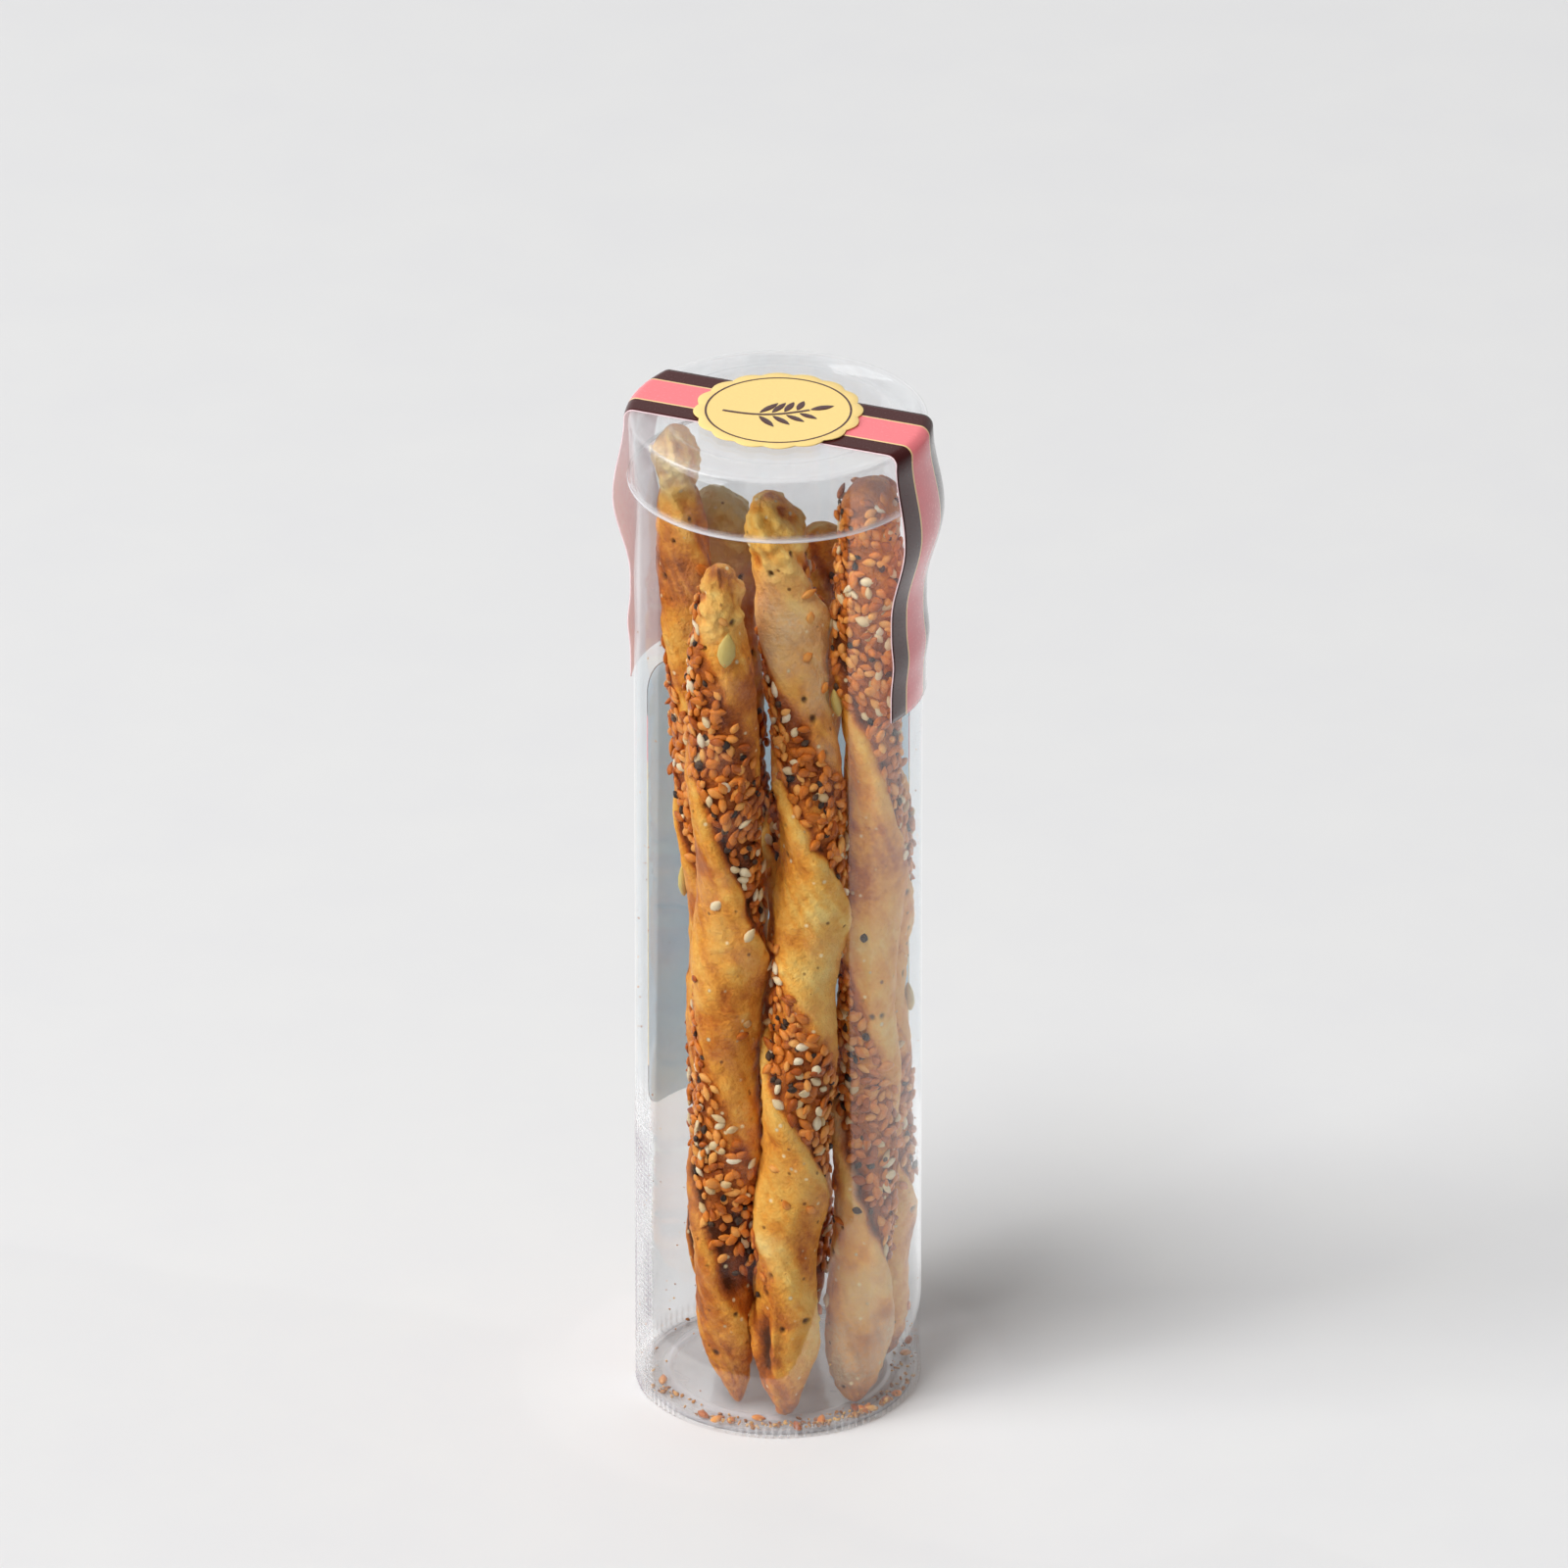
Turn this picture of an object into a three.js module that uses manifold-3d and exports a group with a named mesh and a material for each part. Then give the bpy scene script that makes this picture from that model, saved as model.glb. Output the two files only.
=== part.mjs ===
// A sealed clear tube of twisted, seeded breadsticks.
// Millimetres, +Z up, origin at the centre of the base's underside, -Y towards the front.
// Seven baked sticks stand on the base of a thin clear tube. A clear cap closes the tube, a
// striped paper seal runs over the cap and down both sides, and a label is on the tube's back.
import * as THREE from "three";
import { mergeVertices } from "three/addons/utils/BufferGeometryUtils.js";
import Module from "manifold-3d";

const wasm = await Module();
wasm.setup();

const { clamp, degToRad, lerp, smoothstep } = THREE.MathUtils;

// Driving dimensions of the pack
const PACK_HEIGHT = 188;
const TUBE_RADIUS = 25.2;
const TUBE_WALL = 0.45;
const CLEARANCE = 0.3; // between pieces that touch in the real pack
const PAPER_LIFT = 0.12; // between a sheet of paper and what it lies on
const ROUND_SIDES = 40;

// Base: a disc held by the tube's rolled lower edge
const BASE_THICK = 0.9;
const BASE_STEP = 0.4; // the middle stands a little higher than the edge
const BASE_STEP_RADIUS = 19.5;
const ROLL_WIDTH = 1.3;
const ROLL_HEIGHT = 1.6;
const ROLL_ROUND = 0.5;

// Cap: a flat top with a ring groove, and a skirt with a bead at its edge
const CAP_WALL = 0.5;
const CAP_SKIRT = 12;
const CAP_BEAD = 0.2; // the skirt's lower edge stands out by this much
const CAP_FILLET = 1.2;
const CAP_FILLET_STEPS = 3;
const CAP_GROOVE_RADIUS = 19.4;
const CAP_GROOVE_WIDTH = 0.9;
const CAP_GROOVE_DEPTH = 0.25;
const CAP_INNER = TUBE_RADIUS + CLEARANCE;
const CAP_RADIUS = CAP_INNER + CAP_WALL;

// Paper seal: a strip over the cap, with a scalloped disc on its middle
const SEAL_WIDTH = 17;
const SEAL_THICK = 0.25;
const SEAL_TURN = degToRad(-21.8); // the strip's heading, seen from above
const SEAL_TAIL = 50; // length that hangs down each side
const SEAL_BULGE = 2.0; // how far a tail stands off the cap's skirt
const SEAL_RIPPLE = 0.5; // how far it lifts off the tube lower down
const SEAL_BEND = 1.6; // radius of the bend over the cap's rim
const SEAL_FLAT_ROWS = 4;
const SEAL_BEND_ROWS = 3;
const SEAL_TAIL_ROWS = 11;
const SEAL_COLUMNS = 4;
const DISC_RADIUS = 14.7;
const DISC_LOBES = 16;
const LOBE_STEPS = 4;
const LOBE_DEPTH = 0.75; // how far the notches between the lobes go in

// Back label, on the outside of the tube
const LABEL_HALF_TURN = degToRad(63);
const LABEL_LOW = 46;
const LABEL_HIGH = 132;
const LABEL_THICK = 0.2;
const LABEL_CORNER = 4;
const LABEL_COLUMNS = 14;
const LABEL_ROWS = 8;

// Breadsticks: a flat strip of dough twisted to the left, seeded on one broad face
const STICK_FOOT = BASE_THICK + BASE_STEP + CLEARANCE;
const STICK_HALF_WIDTH = 6.0;
const STICK_HALF_THICK = 4.95;
const HEAD_TAPER = 7;
const LIP_RISE = 0.5; // the edge of the strip, where it overlaps the seeded face
const LIP_ANGLE = -0.1;
const LIP_SPREAD = 0.35;
const FOLD_SINK = 0.6; // the groove beside that edge
const FOLD_ANGLE = 0.45;
const FOLD_SPREAD = 0.25;
const STICK_SIDES = 12;
const STICK_RINGS = 36;

// Each stick: x and y of its foot and head, the height of its top, how far it bows and sways
// from a straight line, how far its tip leans out, the length of the tapered foot, the length
// of one full twist, how the strip is turned at the foot in degrees, and its girth
const STICKS = [
  {
    name: "stick_front_left", foot: [-10.0, -12.4], head: [-10.4, -13.8], top: 166,
    bow: [1.5, -0.5], sway: [0, 0], toe: [3.0, -2.0], taper: 24, pitch: 82, turn: 13, girth: 1.04,
  },
  {
    name: "stick_front_middle", foot: [1.0, -17.4], head: [-2.0, -0.5], top: 173.5,
    bow: [5.5, -6.0], sway: [-2.0, 0], toe: [0.3, -1.2], taper: 22, pitch: 54.5, turn: 275, girth: 1.0,
  },
  {
    name: "stick_front_right", foot: [13.4, -12.2], head: [15.8, -4.5], top: 178,
    bow: [1.2, 0], sway: [0, 0], toe: [0, -1.5], taper: 13, pitch: 87, turn: 62, girth: 0.95,
  },
  {
    name: "stick_right", foot: [18.4, 3.0], head: [18.2, 4.2], top: 118,
    bow: [0, 0], sway: [0.3, 0], toe: [0, 0], taper: 14, pitch: 60, turn: 170, girth: 0.86,
  },
  {
    name: "stick_left", foot: [-9.8, 0.2], head: [-18.4, 3.9], top: 184,
    bow: [2.4, 0], sway: [0, 0], toe: [0, 0], taper: 26, pitch: 80, turn: 308, girth: 0.86,
  },
  {
    name: "stick_back_left", foot: [-6.2, 15.4], head: [-10.6, 13.6], top: 167,
    bow: [0, 0.4], sway: [0, 0], toe: [0, 0], taper: 20, pitch: 60, turn: 200, girth: 0.96,
  },
  {
    name: "stick_back_right", foot: [4.4, 12.6], head: [7.4, 11.4], top: 161,
    bow: [0, 0.5], sway: [-0.5, 0], toe: [0, 0], taper: 24, pitch: 70, turn: 326, girth: 0.95,
  },
];

// Seeds that stand out of a stick's seeded face
const SEED_LENGTH = 3.2;
const SEED_WIDTH = 2.0;
const SEED_THICK = 1.3;
const SEEDS_PER_STICK = 15;
const SEED_LOWEST = 0.1; // the share of the height where seeds start, and where they end
const SEED_HIGHEST = 0.96;
const SEED_ARC = degToRad(120); // the part of the section that carries seeds
const SEED_REACH = 0.9; // room a seed needs outside the dough
const GOLDEN = (Math.sqrt(5) - 1) / 2;

const MATERIALS = {
  clear: { color: 0xf2f5f6, roughness: 0.08, metalness: 0, transparent: true, opacity: 0.3 },
  strip: { color: 0x5a2420, roughness: 0.45, metalness: 0 },
  disc: { color: 0xf3de96, roughness: 0.45, metalness: 0 },
  label: { color: 0x9aa3a8, roughness: 0.6, metalness: 0 },
  crust: { color: 0xcf8f3c, roughness: 0.7, metalness: 0 },
};

const pack = new THREE.Group();

function addPiece(name, geometry, material) {
  const mesh = new THREE.Mesh(geometry, new THREE.MeshStandardMaterial(MATERIALS[material]));
  mesh.name = name;
  pack.add(mesh);
}

// A closed geometry as a solid for joining
function toSolid(geometry) {
  const bare = geometry.clone();
  bare.deleteAttribute("normal");
  bare.deleteAttribute("uv");
  const merged = mergeVertices(bare, 1e-4);
  return new wasm.Manifold(
    new wasm.Mesh({
      numProp: 3,
      vertProperties: merged.attributes.position.array,
      triVerts: new Uint32Array(merged.index.array),
    }),
  );
}

function toGeometry(solid) {
  const mesh = solid.getMesh();
  const geometry = new THREE.BufferGeometry();
  geometry.setAttribute("position", new THREE.BufferAttribute(mesh.vertProperties, 3));
  geometry.setIndex(new THREE.BufferAttribute(mesh.triVerts, 1));
  geometry.computeVertexNormals();
  return geometry;
}

// Moves every vertex of a geometry to the place that a function gives for it
function reshape(geometry, place) {
  const position = geometry.getAttribute("position");
  const point = new THREE.Vector3();
  for (let i = 0; i < position.count; i++) {
    point.fromBufferAttribute(position, i);
    place(point, i);
    position.setXYZ(i, point.x, point.y, point.z);
  }
  geometry.computeVertexNormals();
  return geometry;
}

// A profile of [radius, height] points turned round the Z axis
function turned(profile) {
  const points = profile.map(([radius, height]) => new THREE.Vector2(radius, height));
  return new THREE.LatheGeometry(points, ROUND_SIDES).rotateX(Math.PI / 2);
}

// Points of a quarter round from the side of an edge up to its top
function quarterRound(radius, height, fillet, steps) {
  return Array.from({ length: steps + 1 }, (_, i) => {
    const angle = ((Math.PI / 2) * i) / steps;
    return [radius - fillet + fillet * Math.cos(angle), height - fillet + fillet * Math.sin(angle)];
  });
}

// Tube: a thin wall whose lower edge is rolled inwards round the base
function tubeWall() {
  const inner = TUBE_RADIUS - TUBE_WALL;
  const lip = TUBE_RADIUS - ROLL_WIDTH;
  const rim = PACK_HEIGHT - CAP_WALL - CLEARANCE;
  return turned([
    [lip, 0],
    [TUBE_RADIUS - ROLL_ROUND, 0],
    [TUBE_RADIUS, ROLL_ROUND],
    [TUBE_RADIUS, rim],
    [inner, rim],
    [inner, ROLL_HEIGHT],
    [lip, BASE_THICK],
    [lip, 0],
  ]);
}

// Base: a disc with a raised middle
function baseDisc() {
  const edge = TUBE_RADIUS - ROLL_WIDTH - CLEARANCE;
  const middle = BASE_THICK + BASE_STEP;
  return turned([
    [0, 0],
    [edge, 0],
    [edge, BASE_THICK],
    [BASE_STEP_RADIUS + BASE_STEP, BASE_THICK],
    [BASE_STEP_RADIUS, middle],
    [0, middle],
  ]);
}

function cap() {
  const skirtEnd = PACK_HEIGHT - CAP_SKIRT;
  const groove = CAP_GROOVE_RADIUS - CAP_GROOVE_WIDTH / 2;
  const floor = PACK_HEIGHT - CAP_GROOVE_DEPTH;
  const bead = CAP_RADIUS + CAP_BEAD;
  const under = PACK_HEIGHT - CAP_WALL;
  return turned([
    [0, under],
    [CAP_INNER, under],
    [CAP_INNER, skirtEnd],
    [bead, skirtEnd],
    [bead, skirtEnd + 2 * CAP_BEAD],
    [CAP_RADIUS, skirtEnd + 3 * CAP_BEAD],
    ...quarterRound(CAP_RADIUS, PACK_HEIGHT, CAP_FILLET, CAP_FILLET_STEPS),
    [groove + CAP_GROOVE_WIDTH, PACK_HEIGHT],
    [groove + CAP_GROOVE_WIDTH - CAP_GROOVE_DEPTH, floor],
    [groove + CAP_GROOVE_DEPTH, floor],
    [groove, PACK_HEIGHT],
    [0, PACK_HEIGHT],
  ]);
}

// How far a seal's tail stands from the axis at a share of its length from the cap's rim:
// it bulges off the skirt, comes back to the tube's wall, and lifts a little once more
function tailRadius(share) {
  const skirt = CAP_RADIUS + CAP_BEAD + CLEARANCE;
  const wall = TUBE_RADIUS + CLEARANCE;
  const settle = smoothstep(share, 0.3, 0.62);
  const bulge = SEAL_BULGE * Math.sin(Math.PI * Math.min(share / 0.6, 1)) ** 2;
  const ripple = SEAL_RIPPLE * Math.sin(Math.PI * smoothstep(share, 0.62, 0.95)) ** 2;
  return lerp(skirt, wall, settle) + bulge + ripple;
}

// The strip of the seal: the rows of a flat box are laid over the cap's top, round the bend at
// its rim and down both sides. Each line along it runs out to the cap's round edge first.
function sealStrip() {
  const rest = PACK_HEIGHT + PAPER_LIFT;
  const rim = CAP_RADIUS + CAP_BEAD + CLEARANCE;
  const bendStart = SEAL_FLAT_ROWS;
  const tailStart = SEAL_FLAT_ROWS + SEAL_BEND_ROWS;
  const rows = tailStart + SEAL_TAIL_ROWS;
  const box = new THREE.BoxGeometry(2 * rows, SEAL_WIDTH, SEAL_THICK, 2 * rows, SEAL_COLUMNS, 1);
  return reshape(box, (point) => {
    const row = Math.abs(point.x);
    const flat = Math.sqrt(rim ** 2 - point.y ** 2) - SEAL_BEND;
    const bend = (Math.PI / 2) * clamp((row - bendStart) / SEAL_BEND_ROWS, 0, 1);
    const share = Math.max(row - tailStart, 0) / SEAL_TAIL_ROWS;
    const round = SEAL_BEND + point.z + SEAL_THICK / 2;
    const swell = tailRadius(share) / rim;
    const reach = flat * Math.min(row / bendStart, 1) + round * Math.sin(bend);
    point.x = Math.sign(point.x) * reach * swell;
    point.y *= swell;
    point.z = rest - SEAL_BEND + round * Math.cos(bend) - SEAL_TAIL * share;
  });
}

// The scalloped disc of the seal: an outline of shallow round lobes, extruded
function sealDisc() {
  const steps = DISC_LOBES * LOBE_STEPS;
  const points = [];
  for (let i = 0; i < steps; i++) {
    const angle = (i * 2 * Math.PI) / steps;
    const notch = 1 - Math.abs(Math.cos((angle * DISC_LOBES) / 2));
    const radius = DISC_RADIUS - LOBE_DEPTH * notch;
    points.push(new THREE.Vector2(radius * Math.cos(angle), radius * Math.sin(angle)));
  }
  const options = { depth: SEAL_THICK, bevelEnabled: false };
  const rest = PACK_HEIGHT + 2 * PAPER_LIFT + SEAL_THICK;
  return new THREE.ExtrudeGeometry(new THREE.Shape(points), options).translate(0, 0, rest);
}

// The back label: a flat box wrapped round the back of the tube. Its middle row stays in the
// middle, and the other rows step round the corners' arcs.
function backLabel() {
  const radius = TUBE_RADIUS + CLEARANCE;
  const half = (LABEL_HIGH - LABEL_LOW) / 2;
  const step = 2 / LABEL_ROWS;
  const box = new THREE.BoxGeometry(2, LABEL_THICK, 2, LABEL_COLUMNS, 1, LABEL_ROWS);
  return reshape(box, (point) => {
    const arc = (Math.PI / 2) * Math.min((1 - Math.abs(point.z)) / (1 - step), 1);
    const inset = LABEL_CORNER * (1 - Math.sin(arc));
    const reach = half - LABEL_CORNER * (1 - Math.cos(arc));
    const level = Math.abs(point.z) < step / 2 ? 0 : Math.sign(point.z) * reach;
    const angle = Math.PI / 2 - point.x * (LABEL_HALF_TURN - inset / radius);
    const out = radius + point.y + LABEL_THICK / 2;
    point.set(out * Math.cos(angle), out * Math.sin(angle), LABEL_LOW + half + level);
  });
}

// A stick's axis at a share of its height: a straight line from foot to head, with one half
// wave of bow, one full wave of sway, and a tip that leans out over the tapered foot
function stickAxis(stick, share) {
  const half = Math.sin(Math.PI * share);
  const full = Math.sin(2 * Math.PI * share);
  const tip = Math.max(1 - (share * (stick.top - STICK_FOOT)) / stick.taper, 0) ** 2;
  const place = (axis) => {
    const line = lerp(stick.foot[axis], stick.head[axis], share);
    return line + stick.bow[axis] * half + stick.sway[axis] * full + stick.toe[axis] * tip;
  };
  return new THREE.Vector3(place(0), place(1), lerp(STICK_FOOT, stick.top, share));
}

// How full the section is at a share of the height: a slim tip below, a blunt end above
function stickFullness(stick, share) {
  const length = stick.top - STICK_FOOT;
  const fromFoot = Math.min((share * length) / stick.taper, 1);
  const fromHead = Math.min(((1 - share) * length) / HEAD_TAPER, 1);
  return Math.sin((Math.PI / 2) * fromFoot) ** 0.8 * Math.sqrt(1 - (1 - fromHead) ** 2);
}

// The angle of the strip's broad axis at a share of the height
function stickTwist(stick, share) {
  const length = stick.top - STICK_FOOT;
  return degToRad(stick.turn) - (2 * Math.PI * share * length) / stick.pitch;
}

// The dough's radius at an angle from the strip's broad axis: an ellipse with a raised lip
// and a groove beside it, where the strip's edge overlaps the seeded face
function doughRadius(stick, angle) {
  const across = STICK_HALF_THICK * Math.cos(angle);
  const through = STICK_HALF_WIDTH * Math.sin(angle);
  const ellipse = (STICK_HALF_WIDTH * STICK_HALF_THICK) / Math.hypot(across, through);
  const hump = (centre, spread) => {
    const from = Math.atan2(Math.sin(angle - centre), Math.cos(angle - centre));
    return Math.exp(-((from / spread) ** 2));
  };
  const lip = LIP_RISE * hump(LIP_ANGLE, LIP_SPREAD);
  const fold = FOLD_SINK * hump(FOLD_ANGLE, FOLD_SPREAD);
  return stick.girth * (ellipse + lip - fold);
}

function stickPoint(stick, share, angle) {
  const radius = stickFullness(stick, share) * doughRadius(stick, angle - stickTwist(stick, share));
  const point = stickAxis(stick, share);
  point.x += radius * Math.cos(angle);
  point.y += radius * Math.sin(angle);
  return point;
}

// The bare dough: a sphere's rings and meridians drawn out along the stick
function doughGeometry(stick) {
  const sphere = new THREE.SphereGeometry(1, STICK_SIDES, STICK_RINGS);
  const columns = STICK_SIDES + 1;
  return reshape(sphere, (point, i) => {
    const share = 1 - Math.floor(i / columns) / STICK_RINGS;
    const angle = (2 * Math.PI * (i % columns)) / STICK_SIDES;
    point.copy(stickPoint(stick, share, angle));
  });
}

// A seed has room if its tip stays inside the tube and clear of the other sticks
function seedHasRoom(stick, tip) {
  if (Math.hypot(tip.x, tip.y) > TUBE_RADIUS - TUBE_WALL - CLEARANCE) return false;
  return STICKS.every((other) => {
    const level = (tip.z - STICK_FOOT) / (other.top - STICK_FOOT);
    if (other === stick || level >= 1) return true;
    const gap = stickAxis(other, level).distanceTo(tip);
    return gap > other.girth * (STICK_HALF_WIDTH + LIP_RISE) + SEED_REACH;
  });
}

// Seeds spread along and across the seeded face by the golden ratio, each half sunk in the dough
function seedSolids(stick) {
  const solids = [];
  for (let i = 0; i < SEEDS_PER_STICK; i++) {
    const share = lerp(SEED_LOWEST, SEED_HIGHEST, (i + 0.5) / SEEDS_PER_STICK);
    const across = ((i * GOLDEN) % 1) - 0.5;
    const angle = stickTwist(stick, share) + Math.PI / 2 + across * SEED_ARC;
    const place = stickPoint(stick, share, angle);
    const outward = new THREE.Vector3(Math.cos(angle), Math.sin(angle), 0);
    if (!seedHasRoom(stick, place.clone().addScaledVector(outward, SEED_REACH))) continue;
    const seed = new THREE.IcosahedronGeometry(0.5, 0).scale(SEED_LENGTH, SEED_WIDTH, SEED_THICK);
    const lean = 2 * Math.PI * ((i * GOLDEN * GOLDEN) % 1);
    const stand = new THREE.Quaternion().setFromUnitVectors(new THREE.Vector3(0, 0, 1), outward);
    seed.rotateZ(lean).applyQuaternion(stand).translate(place.x, place.y, place.z);
    solids.push(toSolid(seed));
  }
  return solids;
}

function breadstick(stick) {
  return toGeometry(wasm.Manifold.union([toSolid(doughGeometry(stick)), ...seedSolids(stick)]));
}

addPiece("tube_wall", tubeWall(), "clear");
addPiece("base_disc", baseDisc(), "clear");
addPiece("cap", cap(), "clear");
addPiece("seal_strip", sealStrip().rotateZ(SEAL_TURN), "strip");
addPiece("seal_disc", sealDisc().rotateZ(SEAL_TURN), "disc");
addPiece("back_label", backLabel(), "label");
for (const stick of STICKS) addPiece(stick.name, breadstick(stick), "crust");

export default pack;
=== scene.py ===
"""Looks of a sealed clear tube of twisted, seeded breadsticks.

Lengths are millimetres in the functions below and metres in the meshes. +Z is up, the origin is
the middle of the base's underside, and the front of the pack faces -Y.
"""

import math

import bpy
import numpy as np
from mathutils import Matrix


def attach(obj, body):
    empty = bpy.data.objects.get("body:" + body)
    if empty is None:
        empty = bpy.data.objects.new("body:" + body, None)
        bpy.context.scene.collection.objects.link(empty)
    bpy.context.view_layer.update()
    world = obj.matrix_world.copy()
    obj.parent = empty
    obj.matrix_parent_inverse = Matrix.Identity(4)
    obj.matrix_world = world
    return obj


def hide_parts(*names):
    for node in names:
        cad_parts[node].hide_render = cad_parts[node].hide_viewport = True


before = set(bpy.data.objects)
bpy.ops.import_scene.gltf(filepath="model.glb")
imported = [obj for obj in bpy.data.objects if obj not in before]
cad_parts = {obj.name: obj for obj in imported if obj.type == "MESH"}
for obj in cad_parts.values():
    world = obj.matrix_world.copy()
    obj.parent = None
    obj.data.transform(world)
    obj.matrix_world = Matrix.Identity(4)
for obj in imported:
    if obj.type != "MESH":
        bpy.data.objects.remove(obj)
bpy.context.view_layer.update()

MM = 0.001
TURN = 2 * np.pi

# The pack
PACK_HEIGHT = 188.0
TUBE_RADIUS = 25.2
TUBE_INNER = 24.75
TUBE_RIM = 187.2
TUBE_COLUMNS = 448
ROLL_INNER = 23.9
CAP_INNER = 25.5
CAP_RADIUS = 26.0
CAP_BEAD_RADIUS = 26.2
CAP_LOW = 176.0
CAP_FILLET = 1.2
GROOVE_RADIUS = 19.4
GROOVE_HALF = 0.45
GROOVE_DEPTH = 0.12
BASE_EDGE = 23.6
BASE_STEP_RADIUS = 19.5
BASE_THICK = 0.9
BASE_STEP = 0.4

# The side weld, a knurled band down the left of the tube, and the rippled weld round the base
WELD_ANGLE = math.radians(195)
WELD_HALF = math.radians(15)
WELD_TOP = 66.0
WELD_PITCH = 1.75
WELD_RELIEF = 0.2
RIM_RIPPLES = 112
RIM_RELIEF = 0.12

# The paper seal
SEAL_TURN = math.radians(-21.8)
SEAL_WIDTH = 17.0
SEAL_THICK = 0.25
SEAL_RADIUS = 26.5
SEAL_FLAT = 188.12
SEAL_BEND = 1.6
SEAL_TAIL = 50.0
SEAL_BULGE = 2.0
SEAL_RIPPLE = 0.5
SEAL_TAIL_RADIUS = 25.5
DISC_RADIUS = 14.7
DISC_LOBES = 16
LOBE_DEPTH = 0.75
DISC_LOW = 188.49
DISC_HIGH = 188.74
PRINT_THICK = 0.03
RING_RADIUS = 12.55

# The back label
LABEL_HALF_TURN = math.radians(63)
LABEL_LOW = 46.0
LABEL_HIGH = 132.0
LABEL_INNER = 25.5
LABEL_OUTER = 25.7
LABEL_CORNER = 4.0

# The breadsticks
STICK_FOOT = 1.6
HALF_WIDTH = 6.0
HALF_THICK = 4.95
HEAD_TAPER = 7.0
SEED_FACE = (0.3, 2.75)
WALL_LIMIT = 24.6
CURL_HEIGHT = 15.0
CURL_FACING = math.radians(-142)

# Each stick has its course, close to its solid's, then its looks: tone browns it, torn roughens its
# head, neck is the height and depth of a waist, flour the stretch of height that is dusted pale, tip
# the bluntness of its foot, scorch the browning there, seeds the heights where its seeds start and
# end, slim the height and depth of a thinner head, crown the height from which seeds lie all round,
# pale lightens its torn head, as pale torn dough and on the back left stick as painted light against
# the shade there, and curl opens a torn hollow with a lip at its foot
PLAIN_STICK = dict(
    bow=(0, 0), sway=(0, 0), toe=(0, 0), tone=0.0, torn=0.4, neck=(100, 0.0), slim=(100, 0.0),
    flour=(0, 0), tip=0.6, scorch=0.1, pale=0.0, curl=0, crown=999, grid=(120, 420))
STICKS = [PLAIN_STICK | looks for looks in (
    dict(node="stick_front_left", foot=(-10.0, -12.4), head=(-10.4, -13.8), top=166,
         bow=(1.5, -0.5), toe=(3.0, -2.0), taper=24, pitch=82, turn=13, girth=1.07,
         tone=0.04, torn=0.9, neck=(163, 0.2), slim=(150, 0.3), tip=0.75, scorch=0.15,
         seeds=(31, 161), grid=(150, 520)),
    dict(node="stick_front_middle", foot=(1.0, -17.4), head=(-2.0, -0.5), top=173.5,
         bow=(5.5, -6.0), sway=(-2.0, 0), toe=(0.3, -1.2), taper=22, pitch=54.5, turn=275, girth=1.04,
         torn=1.0, neck=(156.5, 0.17), slim=(158, 0.1), flour=(128, 158), tip=0.45, scorch=0.0,
         pale=0.1, curl=1, seeds=(32, 160), grid=(150, 520)),
    dict(node="stick_front_right", foot=(13.4, -12.2), head=(15.8, -4.5), top=178,
         bow=(1.2, 0), toe=(0, -1.5), taper=13, pitch=87, turn=62, girth=0.97,
         torn=0.15, flour=(0, 60), tip=0.42, scorch=0.0, crown=136, seeds=(30, 177), grid=(150, 520)),
    dict(node="stick_right", foot=(18.4, 3.0), head=(18.2, 4.2), top=118,
         sway=(0.3, 0), taper=14, pitch=60, turn=170, girth=0.86, seeds=(14, 113), grid=(110, 320)),
    dict(node="stick_left", foot=(-9.8, 0.2), head=(-18.4, 3.9), top=184,
         bow=(2.4, 0), taper=26, pitch=80, turn=308, girth=0.86,
         tone=0.1, torn=0.9, neck=(173, 0.16), slim=(168, 0.05), flour=(172, 190), tip=0.7,
         pale=0.3, seeds=(16, 146)),
    # On this stick pale lightens the head as painted light, against the shade of the sticks in front of
    # it
    dict(node="stick_back_left", foot=(-6.2, 15.4), head=(-10.6, 13.6), top=167,
         bow=(1.6, 0.4), taper=20, pitch=60, turn=200, girth=1.03,
         tone=-0.1, torn=1.0, neck=(159, 0.06), flour=(146, 168), pale=0.4, seeds=(16, 146)),
    dict(node="stick_back_right", foot=(4.4, 12.6), head=(7.4, 11.4), top=161,
         bow=(-2.6, -2.5), sway=(-0.5, 0), taper=24, pitch=70, turn=326, girth=1.03,
         tone=0.1, pale=0.1, seeds=(16, 155)),
)]

# Seeds, length by width by thickness
SESAME = (2.65, 1.65, 1.0)
DARK_SEED = (1.7, 1.25, 0.9)
KERNEL = (6.2, 3.5, 1.9)
SEED_ROW = 1.85
SEED_STEP = 1.75
SEED_SHARES = (0.09, 0.985)
SEED_SHAKE = 0.42
SEEDS_KEPT = 0.93
CROWN_SEEDS = 8.0
FALLEN_SEEDS = 16


def smooth(value, low, high):
    """An S-curve: 0 up to low, 1 from high on, and three t squared less two t cubed between."""
    t = np.clip((value - low) / (high - low), 0, 1)
    return t * t * (3 - 2 * t)


def wrapped(angle):
    """An angle brought into the half turn either side of zero."""
    return (angle + np.pi) % TURN - np.pi


def hump(value, middle, spread):
    """A bell: e to the minus square of the distance from the middle, counted in spreads."""
    return np.exp(-(((value - middle) / spread) ** 2))


def lattice(cells, seed):
    """A fixed scatter of numbers from 0 to 1, one for each whole cell, by mixing the cell's bits."""
    c = cells.astype(np.uint32)
    mixed = c[..., 0] * np.uint32(374761393) + c[..., 1] * np.uint32(668265263)
    mixed = mixed + c[..., 2] * np.uint32(2246822519) + np.uint32(seed * 3266489 + 977)
    mixed = (mixed ^ (mixed >> np.uint32(13))) * np.uint32(1274126177)
    mixed = (mixed ^ (mixed >> np.uint32(16))) * np.uint32(2654435769)
    return ((mixed >> np.uint32(8)) & np.uint32(65535)) / 65535.0


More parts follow.
